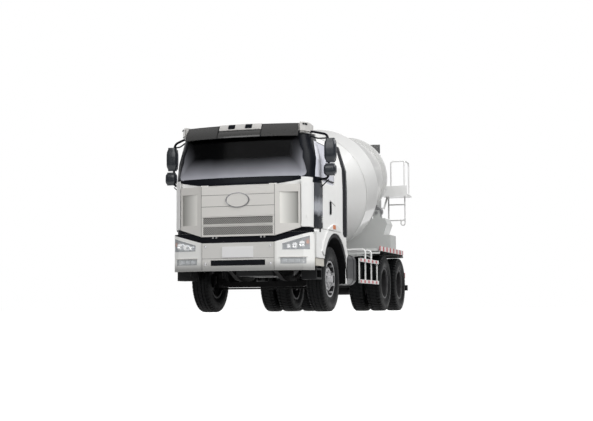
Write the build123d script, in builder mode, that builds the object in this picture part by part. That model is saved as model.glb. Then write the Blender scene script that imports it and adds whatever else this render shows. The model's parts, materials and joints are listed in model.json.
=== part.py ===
from build123d import *
import os
from math import asin, atan2, cos, degrees, hypot, radians, sin, sqrt, tan

# Concrete mixer truck, six wheels on three axles, millimetres.
# +Z is up, the cab faces -Y, the truck's left is +X.
# The origin is on the ground under the middle of the whole vehicle.

# Plan of the vehicle along its length
front_overhang = 1390.0      # cab face to front axle
wheelbase = 3710.0           # front axle to first drive axle
bogie_spread = 1350.0        # first to second drive axle
chute_setback = 1500.0       # second drive axle to chute post
chute_reach = 1200.0         # chute post to the chute's lip
overall_length = front_overhang + wheelbase + bogie_spread + chute_setback + chute_reach
face_y = -overall_length / 2
front_axle_y = face_y + front_overhang
drive_axle_1_y = front_axle_y + wheelbase
drive_axle_2_y = drive_axle_1_y + bogie_spread
bogie_y = (drive_axle_1_y + drive_axle_2_y) / 2
chute_post_y = drive_axle_2_y + chute_setback

# Fits
seat_gap = 0.3               # two pieces that bear on each other
running_gap = 0.05           # a shaft in its own bore
body_gap = 8.0               # between shut panels
swing_gap = 12.0             # between pieces that swing past each other

# Wheels and tyres
tyre_radius = 545.0
tyre_width = 300.0
tyre_bore = 288.0            # bead seat
tread_shoulder = 42.0
front_track = 2020.0         # between the front wheels' middles
twin_inner_x = 745.0
twin_outer_x = 1085.0
twin_tyre_width = 290.0
rim_thickness = 9.0
rim_flange = 16.0
rim_width = 232.0
disc_thickness = 14.0
disc_offset = 74.0           # front wheel disc, out from the wheel's middle
stud_circle = 167.5
stud_count = 10
stud_radius = 14.0
stud_height = 26.0
hand_hole_circle = 222.0
hand_hole_radius = 30.0
hub_radius = 118.0
hub_cap_radius = 78.0
hub_cap_length = 52.0
spindle_radius = 42.0
axle_z = tyre_radius

# Steering
kingpin_x = 850.0
kingpin_radius = 24.0
kingpin_boss_radius = 46.0
kingpin_boss_height = 150.0
knuckle_ear_height = 46.0
knuckle_web_x = 912.0
knuckle_web_thickness = 34.0
steer_arm_length = 190.0
steer_arm_width = 58.0
steer_arm_thickness = 30.0
ball_pin_radius = 15.0
ball_pin_height = 52.0
tie_rod_radius = 19.0
tie_rod_eye_radius = 31.0
tie_rod_eye_height = 34.0

# Frame rails
frame_width = 860.0
rail_height = 260.0
rail_flange = 75.0
rail_thickness = 10.0
rail_top_z = 1000.0
rail_front_setback = 330.0   # behind the cab face
rail_rear_setback = 130.0    # past the chute post
rail_bottom_z = rail_top_z - rail_height
rail_outer_x = frame_width / 2
rail_inner_x = rail_outer_x - rail_thickness
rail_front_y = face_y + rail_front_setback
rail_rear_y = chute_post_y + rail_rear_setback
cross_width = 70.0
cross_height = 90.0

# Axles, springs and drive line
beam_height = 95.0
beam_width = 90.0
beam_drop = 75.0             # front beam's middle under the wheel centre
spring_width = 72.0
front_spring_length = 1480.0
front_spring_thickness = 84.0
spring_eye_radius = 34.0
axle_tube_radius = 72.0
axle_tube_end_x = 600.0
axle_bowl_radius = 205.0
axle_bowl_depth = 120.0
bogie_spring_x = 505.0
bogie_spring_thickness = 150.0
bogie_spring_tip = 46.0
trunnion_radius = 58.0
shaft_radius = 52.0
shaft_joint_radius = 78.0
shaft_joint_length = 110.0

# Engine and gearbox under the cab
engine_width = 640.0
engine_length = 1150.0
engine_front_setback = 790.0
engine_bottom_z = 600.0
engine_top_z = 1195.0
gearbox_length = 720.0
gearbox_radius = 190.0
gearbox_z = 780.0

# Cab body: outlines at four levels, see cab_levels
cab_floor_z = 1275.0
cab_belt_z = 2070.0
cab_shoulder_z = 2440.0
cab_eaves_z = 2860.0
cab_roof_z = 3010.0
cab_wall = 58.0
cab_length = 2150.0
cab_half_width = 1220.0
cab_tilt_setback = 72.0      # hinge line behind the cab face
cab_hinge_z = 1200.0
cab_hinge_x = 395.0
cab_hinge_radius = 22.0
hinge_lug_radius = 34.0
hinge_lug_width = 26.0

# Openings in the cab body
door_front_setback = 590.0
door_rear_setback = 1430.0
door_sill_z = cab_floor_z + cab_wall + body_gap + 2
door_top_z = 2850.0
window_sill_z = 2100.0
window_top_z = 2760.0
window_margin = 78.0
door_lean = 22.0             # the door's rear edge, forward of the gap at the top
door_hinge_radius = 12.0
door_hinge_length = 64.0
glass_thickness = 8.0
screen_sill_z = 2150.0
screen_top_z = 2830.0
screen_half_bottom = 1012.0
screen_half_top = 925.0

# Front lid, the opening panel under the windscreen
lid_flat_half = 620.0        # kink in plan
lid_half = 1020.0
lid_corner_sweep = 104.0     # how far the lid's ends lie behind its middle
lid_thickness = 34.0
lid_bottom_z = 1210.0
lid_corner_bottom_z = 1335.0
lid_top_z = 2022.0
lid_hinge_setback = 46.0
lid_hinge_z = 2034.0
lid_knuckle_xs = [-620.0, 540.0]
lid_knuckle_length = 80.0
lid_knuckle_radius = 9.0
lid_pin_radius = 4.0

# Grille windows in the lid: z low, z high
grille_half = 590.0
grille_rows = [(1238.0, 1368.0), (1412.0, 1520.0)]
grille_depth = 18.0
grille_slat = 12.0
grille_slats = 3
lid_recess_x = (700.0, 985.0)
lid_recess_z = (1400.0, 1900.0)
lid_scoop_setback = (55.0, 130.0)  # scoop floor's back at its inner and outer edge
lid_scoop_floor = 14.0
badge_half_width = 200.0
badge_half_height = 118.0
badge_z = 1790.0
badge_proud = 7.0

# Bumper
bumper_bottom_z = 660.0
bumper_top_z = 1108.0
bumper_corner_top_z = 1262.0
bumper_half = 1190.0
bumper_side_setback = 300.0
bumper_thickness = 70.0
bumper_slot_half = 460.0
bumper_slot_z = (743.0, 833.0)
bumper_slot_depth = 26.0
lamp_x = (735.0, 1150.0)
lamp_z = (985.0, 1200.0)
lamp_inner_top_z = 1080.0
fog_x = (705.0, 1100.0)
fog_z = (762.0, 858.0)
lamp_pocket_depth = 46.0
lamp_proud = 4.0

# Front wheel arch and steps
arch_radius = 700.0
arch_skirt_bottom_z = 862.0
arch_front_setback = 322.0
arch_rear_setback = 2130.0
arch_flap_bottom_z = 470.0
arch_inner_x = 700.0
arch_panel_thickness = 34.0
step_depth = 250.0
step_z = (520.0, 815.0)
step_setback = (372.0, 672.0)

# Sun visor, mirrors and rear trims
visor_half = 965.0
visor_bottom_z = 2800.0
visor_top_z = 3022.0
visor_thickness = 36.0
visor_stand_off = 118.0
mirror_x = (1305.0, 1475.0)
mirror_setback = (460.0, 550.0)
mirror_main_z = (2390.0, 2760.0)
mirror_wide_z = (2170.0, 2362.0)
mirror_arm_radius = 15.0
rear_trim_width = 95.0
rear_trim_proud = 16.0
corner_panel_setback = (325.0, 538.0)
corner_panel_z = (1330.0, 2060.0)

# Seats and controls
seat_x = 640.0
seat_setback = 1290.0
seat_width = 520.0
seat_cushion_z = (1590.0, 1735.0)
seat_cushion_depth = 500.0
seat_back_height = 720.0
seat_back_thickness = 130.0
dash_z = (1720.0, 2050.0)
dash_setback = (300.0, 640.0)
steering_wheel_radius = 225.0
steering_wheel_rim = 17.0
steering_column_radius = 34.0
steering_wheel_setback = 750.0
steering_wheel_z = 2035.0
steering_wheel_tilt = 32.0

# Mounting frame of the mixer
subframe_front_setback = 2450.0
subframe_height = 80.0
subframe_top_z = rail_top_z + subframe_height

# Drum, along its own axis from the point over drum_y
drum_y = face_y + 5000.0
drum_axis_z = 2483.0
drum_tilt = 12.0
drum_radius = 1180.0
drum_wall = 9.0
drum_head_s = -1985.0
drum_head_radius = 560.0
drum_front_s = -1200.0
drum_middle_s = -300.0
drum_knee_s = 1500.0
drum_knee_radius = 868.0
drum_mouth_s = 2620.0
drum_mouth_radius = 650.0
head_plate_s = -2035.0
head_plate_radius = 250.0
ring_s = 1950.0
ring_radius = 865.0
ring_width = 84.0

# Drum rollers and drive
roller_radius = 122.0
roller_width = 104.0
roller_pin_radius = 34.0
roller_spread = 38.0         # degrees each side of straight down
mixer_gearbox_radius = 215.0
mixer_gearbox_length = 330.0
mixer_motor_radius = 105.0
mixer_motor_length = 150.0

# Hopper, discharge funnel and chute
hopper_top_z = 3750.0
hopper_collar_z = 3560.0       # foot of the upright collar
hopper_rim_drop = 80.0         # how far the rim falls towards the drum
hopper_half_width = 450.0
hopper_wall = 12.0
hopper_setback = (7500.0, 8080.0)
hopper_throat_z = 3130.0
hopper_throat_half = 265.0
hopper_throat_setback = (7410.0, 7690.0)
hopper_lug_z = (3400.0, 3470.0)
funnel_top_z = 3060.0
funnel_bottom_z = 1930.0
funnel_setback = (7745.0, 8150.0)
funnel_half_top = 420.0
funnel_half_bottom = 200.0
funnel_lug_zs = [(2300.0, 2370.0), (2890.0, 2960.0)]
pedestal_reach = (190.0, 345.0)  # before and behind the rollers
pedestal_block_half = 934.0
pedestal_block_z = (1275.0, 1616.0)  # its underside clears the fenders
pedestal_waist = (792.0, 1662.0)
pedestal_shoulder = (864.0, 1856.0)
post_x = 470.0
post_size = 80.0
post_setback = 7800.0
post_foot_z = 1990.0
post_top_z = 3480.0
chute_pivot_z = 1800.0
chute_slope = 21.0
chute_radius = 205.0
chute_wall = 8.0
chute_head = 175.0           # part of the trough in front of its pivot
turret_radius = 62.0
turret_socket_radius = 96.0
turret_socket_z = (800.0, 1092.0)
turret_ear_gap = 26.0
turret_ear_thickness = 20.0
chute_pin_radius = 18.0
jack_foot = (160.0, 1060.0)  # behind the post, height
jack_eye_along = 360.0       # from the chute's pivot along the trough
jack_eye_drop = 262.0        # below the trough's middle line
jack_barrel_radius = 32.0
jack_barrel_length = 268.0
jack_rod_radius = 17.0
jack_eye_radius = 32.0
jack_pin_radius = 14.0
jack_width = 74.0

# Ladder and platform, on the left at the back
platform_x = (560.0, 1120.0)
platform_setback = (7760.0, 8290.0)
platform_z = (2530.0, 2570.0)
toe_board_height = 190.0
ladder_x = (590.0, 965.0)
ladder_bottom_z = 1985.0
ladder_hoop = (92.0, 68.0)     # across and below the right rail's foot
rung_z = (2030.0, 2384.0)
guard_top_z = 3320.0
guard_inset = 170.0          # near guard post, in from the ladder's rail
tube_radius = 17.0

# Guards, fenders and tanks on the sides
side_half_width = 1225.0
guard_setback = (3100.0, 4535.0)
guard_z = (510.0, 965.0)
guard_rail_height = 66.0
guard_rail_thickness = 26.0
guard_post_width = 52.0
guard_posts = 4
fender_setback = (4600.0, 6760.0)
fender_inner_x = 590.0
fender_skirt_z = 1165.0
fender_skirt_height = 95.0
fender_thickness = 12.0
fender_drop = 60.0
tank_setback = (2290.0, 3060.0)
tank_x = (520.0, 1150.0)
tank_z = (470.0, 1010.0)
tank_round = 120.0
strap_width = 50.0
strap_thickness = 6.0
air_tank_radius = 130.0
air_tank_length = 640.0
underrun_z = (430.0, 545.0)
underrun_depth = 90.0
underrun_half = 1190.0
underrun_setback = 7290.0
tail_lamp_z = (700.0, 810.0)
tail_lamp_x = (800.0, 1130.0)
tail_lamp_depth = 60.0

# Directions along and across the inclined drum
drum_axis = (0.0, cos(radians(drum_tilt)), sin(radians(drum_tilt)))
drum_up = (0.0, -sin(radians(drum_tilt)), cos(radians(drum_tilt)))


def behind(setback):
    """Row coordinate of a place so far behind the cab face."""
    return face_y + setback


def on_drum(s, r=0.0, x=0.0):
    """Place at s along the drum's axis, r above it in the middle plane and x to its left."""
    return (
        x,
        drum_y + s * drum_axis[1] + r * drum_up[1],
        drum_axis_z + s * drum_axis[2] + r * drum_up[2],
    )


def box_between(x_span, y_span, z_span, mode=Mode.ADD):
    """Block between two limits along each axis."""
    spans = (x_span, y_span, z_span)
    with Locations(tuple((low + high) / 2 for low, high in spans)):
        Box(*(abs(high - low) for low, high in spans), mode=mode)


def side_plate(outline, x_span, mode=Mode.ADD):
    """Plate drawn in the side view as (y, z) corners, between two x limits."""
    with BuildSketch(Plane.YZ.offset(min(x_span))) as profile:
        with BuildLine():
            Polyline(*outline, close=True)
        make_face()
    extrude(profile.sketch, amount=abs(x_span[1] - x_span[0]), mode=mode)


def front_plate(outline, y_span, mode=Mode.ADD):
    """Plate drawn in the front view as (x, z) corners, between two y limits."""
    with BuildSketch(Plane.XZ.offset(-max(y_span))) as profile:
        with BuildLine():
            Polyline(*outline, close=True)
        make_face()
    extrude(profile.sketch, amount=abs(y_span[1] - y_span[0]), mode=mode)


def plan_plate(outline, z_span, mode=Mode.ADD):
    """Plate drawn in the plan as (x, y) corners, between two heights."""
    with BuildSketch(Plane.XY.offset(min(z_span))) as profile:
        with BuildLine():
            Polyline(*outline, close=True)
        make_face()
    extrude(profile.sketch, amount=abs(z_span[1] - z_span[0]), mode=mode)


def round_bar(start, end, radius, mode=Mode.ADD):
    """Straight round bar between two points."""
    run = Vector(*end) - Vector(*start)
    with BuildSketch(Plane(origin=start, z_dir=run)) as section:
        Circle(radius)
    extrude(section.sketch, amount=run.length, mode=mode)


def bent_tube(points, radius, bend):
    """Round tube along straight runs joined by bends."""
    with BuildLine() as path:
        FilletPolyline(*points, radius=bend)
    with BuildSketch(Plane(origin=path.line @ 0, z_dir=path.line % 0)) as section:
        Circle(radius)
    sweep(section.sketch, path=path.wire())


def turned(outline, centre, direction, radial, mode=Mode.ADD):
    """Solid of revolution: (along, out) corners about an axis through centre."""
    along = Vector(*direction)
    out = Vector(*radial)
    with BuildSketch(Plane(origin=centre, x_dir=along, z_dir=along.cross(out))) as profile:
        with BuildLine():
            Polyline(*outline, close=True)
        make_face()
    revolve(profile.sketch, axis=Axis(centre, direction), mode=mode)


def save(piece, name):
    """Label a finished piece and write it under its own name."""
    piece.part.label = name
    export_step(piece.part, "parts/" + name + ".step")


os.makedirs("parts", exist_ok=True)

# Wheels


def tyre_outline(width):
    """Half section of a tyre as (along the axle, out from it)."""
    half = width / 2
    bead = rim_width / 2 - rim_thickness - seat_gap
    flange_top = tyre_bore + rim_flange + seat_gap
    belly = tyre_bore + (tyre_radius - tyre_bore) * 0.45
    return [
        (-bead, tyre_bore),
        (-bead, flange_top),
        (-half, belly),
        (-half + 14, tyre_radius - tread_shoulder),
        (-half + tread_shoulder, tyre_radius),
        (half - tread_shoulder, tyre_radius),
        (half - 14, tyre_radius - tread_shoulder),
        (half, belly),
        (bead, flange_top),
        (bead, tyre_bore),
        (bead - 30, tyre_bore + 34),
        (-bead + 30, tyre_bore + 34),
    ]


def rim_outline():
    """Rim barrel with its flanges."""
    half = rim_width / 2
    seat = tyre_bore - seat_gap
    inner = seat - rim_thickness
    return [
        (-half, inner - 4),
        (-half, tyre_bore + rim_flange),
        (-half + rim_thickness, tyre_bore + rim_flange),
        (-half + rim_thickness, seat),
        (half - rim_thickness, seat),
        (half - rim_thickness, tyre_bore + rim_flange),
        (half, tyre_bore + rim_flange),
        (half, inner - 4),
        (half - 30, inner - 10),
        (-half + 30, inner - 10),
    ]


def add_rim(x, y, side):
    turned(rim_outline(), (x, y, axle_z), (side, 0, 0), (0, 0, 1))


def add_tyre(x, y, side, width):
    turned(tyre_outline(width), (x, y, axle_z), (side, 0, 0), (0, 0, 1))


def add_disc(x, y, side, start, end):
    """Dished wheel disc from the hub face at start to the rim at end, along the axle."""
    outer = tyre_bore - seat_gap - rim_thickness - 6
    outline = [
        (start, spindle_radius + 40),
        (start, hand_hole_circle - 34),
        (end, outer - 30),
        (end, outer),
        (end + disc_thickness, outer),
        (end + disc_thickness, outer - 34),
        (start + disc_thickness, hand_hole_circle - 30),
        (start + disc_thickness, spindle_radius + 40),
    ]
    turned(outline, (x, y, axle_z), (side, 0, 0), (0, 0, 1))
    with BuildSketch(Plane(origin=(x - side * 100, y, axle_z), z_dir=(side, 0, 0))) as holes:
        with PolarLocations(hand_hole_circle + 12, stud_count, start_angle=18):
            Circle(hand_hole_radius)
    extrude(holes.sketch, amount=240, mode=Mode.SUBTRACT)


def add_studs(x, y, side, face):
    """Wheel nuts in a ring on the disc's outer face."""
    with BuildSketch(Plane(origin=(x + side * face, y, axle_z), z_dir=(side, 0, 0))) as nuts:
        with PolarLocations(stud_circle - 26, stud_count):
            Circle(stud_radius)
    extrude(nuts.sketch, amount=stud_height)


def hub_outline(inner, outer):
    """Hub turned about the axle: bore for the spindle, closed by a cap outside."""
    bore = spindle_radius + running_gap
    return [
        (inner, bore),
        (inner, hub_radius),
        (outer, hub_radius),
        (outer, hub_cap_radius),
        (outer + hub_cap_length, hub_cap_radius - 16),
        (outer + hub_cap_length, 0),
        (outer + 12, 0),
        (outer + 12, bore),
    ]


front_wheel_x = front_track / 2
hub_inner_x = knuckle_web_x + knuckle_web_thickness + swing_gap
front_disc_face = disc_offset + disc_thickness
for side, hand in ((1, "left"), (-1, "right")):
    with BuildPart() as front_tyre:
        add_tyre(side * front_wheel_x, front_axle_y, side, tyre_width)
    save(front_tyre, "tyre_front_" + hand)

    with BuildPart() as front_wheel:
        add_rim(side * front_wheel_x, front_axle_y, side)
        add_disc(side * front_wheel_x, front_axle_y, side, disc_offset, 20.0)
        turned(
            hub_outline(hub_inner_x - front_wheel_x, disc_offset + disc_thickness + 18),
            (side * front_wheel_x, front_axle_y, axle_z),
            (side, 0, 0),
            (0, 0, 1),
        )
        add_studs(side * front_wheel_x, front_axle_y, side, front_disc_face)
    save(front_wheel, "wheel_front_" + hand)

twin_middle_x = (twin_inner_x + twin_outer_x) / 2
twin_disc_in = twin_middle_x - twin_outer_x      # outer wheel's disc, from its own middle
for axle_y, row in ((drive_axle_1_y, "1"), (drive_axle_2_y, "2")):
    for side, hand in ((1, "left"), (-1, "right")):
        with BuildPart() as twin_tyres:
            for x in (twin_inner_x, twin_outer_x):
                add_tyre(side * x, axle_y, side, twin_tyre_width)
        save(twin_tyres, "tyres_rear_" + row + "_" + hand)

        with BuildPart() as twin_wheel:
            for x in (twin_inner_x, twin_outer_x):
                add_rim(side * x, axle_y, side)
            add_disc(side * twin_outer_x, axle_y, side, twin_disc_in, -20.0 - disc_thickness)
            add_disc(side * twin_inner_x, axle_y, -side, twin_inner_x - twin_middle_x, -34.0)
            turned(
                hub_outline(axle_tube_end_x + swing_gap - twin_middle_x, disc_thickness + 60),
                (side * twin_middle_x, axle_y, axle_z),
                (side, 0, 0),
                (0, 0, 1),
            )
            add_studs(side * twin_middle_x, axle_y, side, disc_thickness)
        save(twin_wheel, "wheels_rear_" + row + "_" + hand)

# Front axle and steering
boss_low_z = axle_z - kingpin_boss_height / 2
boss_high_z = axle_z + kingpin_boss_height / 2
beam_mid_z = axle_z - beam_drop
with BuildPart() as front_axle:
    with BuildSketch(Plane.XZ.offset(-front_axle_y - beam_width / 2)) as beam:
        with BuildLine():
            Polyline(
                (-kingpin_x, axle_z - beam_height / 2),
                (-kingpin_x + 190, beam_mid_z - beam_height / 2),
                (kingpin_x - 190, beam_mid_z - beam_height / 2),
                (kingpin_x, axle_z - beam_height / 2),
                (kingpin_x, axle_z + beam_height / 2),
                (kingpin_x - 170, beam_mid_z + beam_height / 2),
                (-kingpin_x + 170, beam_mid_z + beam_height / 2),
                (-kingpin_x, axle_z + beam_height / 2),
                close=True,
            )
        make_face()
    extrude(beam.sketch, amount=beam_width)
    for side in (1, -1):
        pin_reach = knuckle_ear_height + seat_gap + 6
        round_bar(
            (side * kingpin_x, front_axle_y, boss_low_z),
            (side * kingpin_x, front_axle_y, boss_high_z),
            kingpin_boss_radius,
        )
        round_bar(
            (side * kingpin_x, front_axle_y, boss_low_z - pin_reach),
            (side * kingpin_x, front_axle_y, boss_high_z + pin_reach),
            kingpin_radius,
        )
save(front_axle, "front_axle")

ball_y = front_axle_y + steer_arm_length
ear_low_z = (boss_low_z - seat_gap - knuckle_ear_height, boss_low_z - seat_gap)
ear_high_z = (boss_high_z + seat_gap, boss_high_z + seat_gap + knuckle_ear_height)
arm_z = (ear_low_z[0], ear_low_z[0] + steer_arm_thickness)
for side, hand in ((1, "left"), (-1, "right")):
    with BuildPart() as knuckle:
        box_between(
            (side * knuckle_web_x, side * (knuckle_web_x + knuckle_web_thickness)),
            (front_axle_y - 90, front_axle_y + 90),
            (ear_low_z[0], ear_high_z[1]),
        )
        for low, high in (ear_low_z, ear_high_z):
            round_bar(
                (side * kingpin_x, front_axle_y, low),
                (side * kingpin_x, front_axle_y, high),
                kingpin_boss_radius,
            )
            box_between(
                (side * kingpin_x, side * (knuckle_web_x + 5)),
                (front_axle_y - kingpin_boss_radius, front_axle_y + kingpin_boss_radius),
                (low, high),
            )
        box_between(
            (side * (kingpin_x - steer_arm_width / 2), side * (kingpin_x + steer_arm_width / 2)),
            (front_axle_y, ball_y),
            arm_z,
        )
        round_bar(
            (side * kingpin_x, ball_y, arm_z[0]),
            (side * kingpin_x, ball_y, arm_z[1]),
            steer_arm_width / 2,
        )
        round_bar(
            (side * kingpin_x, ball_y, arm_z[0] - ball_pin_height),
            (side * kingpin_x, ball_y, arm_z[0]),
            ball_pin_radius,
        )
        round_bar(
            (side * (knuckle_web_x + knuckle_web_thickness), front_axle_y, axle_z),
            (side * (front_wheel_x + disc_offset + disc_thickness + 18), front_axle_y, axle_z),
            spindle_radius,
        )
        round_bar(
            (side * kingpin_x, front_axle_y, ear_low_z[0] - 10),
            (side * kingpin_x, front_axle_y, ear_high_z[1] + 10),
            kingpin_radius + running_gap,
            mode=Mode.SUBTRACT,
        )
    save(knuckle, "knuckle_" + hand)

rod_top_z = arm_z[0] - seat_gap
rod_eye_z = (rod_top_z - tie_rod_eye_height, rod_top_z)
rod_z = sum(rod_eye_z) / 2
with BuildPart() as tie_rod:
    round_bar((-kingpin_x, ball_y, rod_z), (kingpin_x, ball_y, rod_z), tie_rod_radius - 5)
    for side in (1, -1):
        round_bar(
            (side * kingpin_x, ball_y, rod_eye_z[0]),
            (side * kingpin_x, ball_y, rod_eye_z[1]),
            tie_rod_eye_radius,
        )
        round_bar(
            (side * kingpin_x, ball_y, rod_eye_z[0] - 5),
            (side * kingpin_x, ball_y, rod_eye_z[1] + 5),
            ball_pin_radius + running_gap,
            mode=Mode.SUBTRACT,
        )
save(tie_rod, "tie_rod")

# Springs and driven axles
with BuildPart() as leaf_springs:
    for side in (1, -1):
        spring_x = (side * (rail_outer_x - spring_width), side * rail_outer_x)
        half = front_spring_length / 2
        low = beam_mid_z + beam_height / 2
        high = low + front_spring_thickness
        eye_z = rail_bottom_z - spring_eye_radius - seat_gap
        side_plate(
            [
                (front_axle_y - half, eye_z - 9),
                (front_axle_y - half * 0.45, low + 22),
                (front_axle_y - 90, low),
                (front_axle_y + 90, low),
                (front_axle_y + half * 0.45, low + 22),
                (front_axle_y + half, eye_z - 9),
                (front_axle_y + half, eye_z + 9),
                (front_axle_y + half * 0.45, high - 16),
                (front_axle_y + 90, high),
                (front_axle_y - 90, high),
                (front_axle_y - half * 0.45, high - 16),
                (front_axle_y - half, eye_z + 9),
            ],
            spring_x,
        )
        for end in (-half, half):
            round_bar(
                (spring_x[0], front_axle_y + end, eye_z),
                (spring_x[1], front_axle_y + end, eye_z),
                spring_eye_radius,
            )
        pad_z = axle_z + axle_tube_radius
        middle_x = side * bogie_spring_x
        half_bogie = bogie_spread / 2
        side_plate(
            [
                (drive_axle_1_y - 70, pad_z),
                (bogie_y - 130, pad_z),
                (bogie_y + 130, pad_z),
                (drive_axle_2_y + 70, pad_z),
                (drive_axle_2_y + 70, pad_z + bogie_spring_tip),
                (bogie_y + 130, pad_z + bogie_spring_thickness),
                (bogie_y - 130, pad_z + bogie_spring_thickness),
                (drive_axle_1_y - 70, pad_z + bogie_spring_tip),
            ],
            (middle_x - spring_width / 2, middle_x + spring_width / 2),
        )
save(leaf_springs, "leaf_springs")

with BuildPart() as drive_axles:
    for axle_y in (drive_axle_1_y, drive_axle_2_y):
        turned(
            [
                (-axle_bowl_radius, 0),
                (-axle_bowl_radius, axle_tube_radius),
                (-axle_bowl_depth, axle_bowl_radius),
                (axle_bowl_depth, axle_bowl_radius),
                (axle_bowl_radius, axle_tube_radius),
                (axle_bowl_radius, 0),
            ],
            (0, axle_y, axle_z),
            (1, 0, 0),
            (0, 0, 1),
        )
        round_bar((-axle_tube_end_x, axle_y, axle_z), (axle_tube_end_x, axle_y, axle_z), axle_tube_radius)
        reach = twin_middle_x + disc_thickness + 60
        round_bar((-reach, axle_y, axle_z), (reach, axle_y, axle_z), spindle_radius)
        round_bar(
            (0, axle_y - axle_bowl_radius - 90, axle_z + 30),
            (0, axle_y, axle_z + 30),
            shaft_joint_radius,
        )
save(drive_axles, "drive_axles")

nose_1_y = drive_axle_1_y - axle_bowl_radius - 90
nose_2_y = drive_axle_2_y - axle_bowl_radius - 90
tail_1_y = drive_axle_1_y + axle_bowl_radius
engine_y = behind(engine_front_setback)
gearbox_rear_y = engine_y + engine_length + gearbox_length
with BuildPart() as propeller_shaft:
    shaft_start = (0, gearbox_rear_y + seat_gap, gearbox_z)
    shaft_end = (0, nose_1_y - seat_gap, axle_z + 30)
    joints = []
    for at, way in ((shaft_start, 1), (shaft_end, -1)):
        middle = (0, at[1] + way * shaft_joint_length, at[2])
        round_bar(at, middle, shaft_joint_radius)
        joints.append((0, at[1] + way * shaft_joint_length / 2, at[2]))
    round_bar(joints[0], joints[1], shaft_radius)
    round_bar(
        (0, tail_1_y + seat_gap, axle_z + 30),
        (0, nose_2_y - seat_gap, axle_z + 30),
        shaft_radius,
    )
save(propeller_shaft, "propeller_shaft")

# Engine and gearbox
with BuildPart() as engine_block:
    box_between(
        (-engine_width / 2, engine_width / 2),
        (engine_y, engine_y + engine_length),
        (engine_bottom_z, engine_top_z),
    )
    round_bar(
        (0, engine_y + engine_length, gearbox_z),
        (0, gearbox_rear_y, gearbox_z),
        gearbox_radius,
    )
    for setback in (140.0, engine_length - 240.0):
        box_between(
            (-rail_inner_x + seat_gap, rail_inner_x - seat_gap),
            (engine_y + setback, engine_y + setback + 110),
            (rail_bottom_z + 90, rail_bottom_z + 150),
        )
save(engine_block, "engine_block")

# Chassis frame
cab_hinge_y = behind(cab_tilt_setback)
cab_rest_y = (behind(cab_length - 260), behind(cab_length - 160))
cross_setbacks = [380.0, 2860.0, 3600.0, 4500.0, 5240.0, 6250.0, 7000.0]
with BuildPart() as chassis_frame:
    for side in (1, -1):
        box_between(
            (side * rail_inner_x, side * rail_outer_x),
            (rail_front_y, rail_rear_y),
            (rail_bottom_z, rail_top_z),
        )
        for low in (rail_bottom_z, rail_top_z - rail_thickness):
            box_between(
                (side * (rail_outer_x - rail_flange), side * rail_outer_x),
                (rail_front_y, rail_rear_y),
                (low, low + rail_thickness),
            )
        box_between(
            (side * (rail_outer_x - rail_flange), side * rail_outer_x),
            (rail_front_y, rail_front_y + 12),
            (rail_bottom_z, rail_top_z),
        )
        bracket_x = (side * cab_hinge_x, side * (cab_hinge_x + hinge_lug_width))
        side_plate(
            [
                (rail_front_y + 160, rail_bottom_z + 20),
                (rail_front_y - 60, rail_bottom_z + 120),
                (cab_hinge_y + 62, cab_hinge_z - 90),
                (cab_hinge_y - 20, cab_hinge_z - 24),
                (cab_hinge_y + 26, cab_hinge_z + 20),
                (cab_hinge_y + 130, cab_hinge_z - 70),
                (rail_front_y + 60, rail_top_z - 20),
                (rail_front_y + 160, rail_top_z - 60),
            ],
            bracket_x,
        )
        round_bar(
            (bracket_x[0], cab_hinge_y, cab_hinge_z),
            (bracket_x[1], cab_hinge_y, cab_hinge_z),
            hinge_lug_radius - 4,
        )
        round_bar(
            (side * (cab_hinge_x - hinge_lug_width - 6), cab_hinge_y, cab_hinge_z),
            (side * (cab_hinge_x + 2 * hinge_lug_width + 6), cab_hinge_y, cab_hinge_z),
            cab_hinge_radius,
        )
        box_between(
            (side * (rail_outer_x - rail_flange), side * (rail_outer_x + 60)),
            cab_rest_y,
            (rail_top_z, cab_floor_z - seat_gap),
        )
        for setback in (-front_spring_length / 2, front_spring_length / 2):
            y = front_axle_y + setback
            box_between(
                (side * (rail_outer_x - spring_width), side * rail_outer_x),
                (y - 60, y + 60),
                (rail_bottom_z - 0.0, rail_bottom_z + rail_thickness),
            )
        side_plate(
            [
                (bogie_y - 190, rail_bottom_z + rail_height / 2),
                (bogie_y - 90, axle_z - 70),
                (bogie_y + 90, axle_z - 70),
                (bogie_y + 190, rail_bottom_z + rail_height / 2),
            ],
            (side * (rail_outer_x - 5), side * (rail_outer_x + 20)),
        )
    for setback in cross_setbacks:
        y = behind(setback)
        box_between(
            (-rail_inner_x - 1, rail_inner_x + 1),
            (y - cross_width / 2, y + cross_width / 2),
            (rail_top_z - 40 - cross_height, rail_top_z - 40),
        )
    trunnion_z = axle_z + axle_tube_radius - trunnion_radius - seat_gap
    for side in (1, -1):
        round_bar(
            (side * (rail_outer_x - 5), bogie_y, trunnion_z),
            (side * (bogie_spring_x + spring_width / 2), bogie_y, trunnion_z),
            trunnion_radius,
        )
    box_between(
        (-rail_inner_x - 1, rail_inner_x + 1),
        (chute_post_y - turret_socket_radius, chute_post_y + turret_socket_radius),
        (rail_top_z - 40 - cross_height, rail_top_z - 40),
    )
    round_bar(
        (0, chute_post_y, turret_socket_z[0]),
        (0, chute_post_y, turret_socket_z[1]),
        turret_socket_radius,
    )
    round_bar(
        (0, chute_post_y, turret_socket_z[0] - 5),
        (0, chute_post_y, turret_socket_z[1] + 5),
        turret_radius + running_gap,
        mode=Mode.SUBTRACT,
    )
save(chassis_frame, "chassis_frame")

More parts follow.
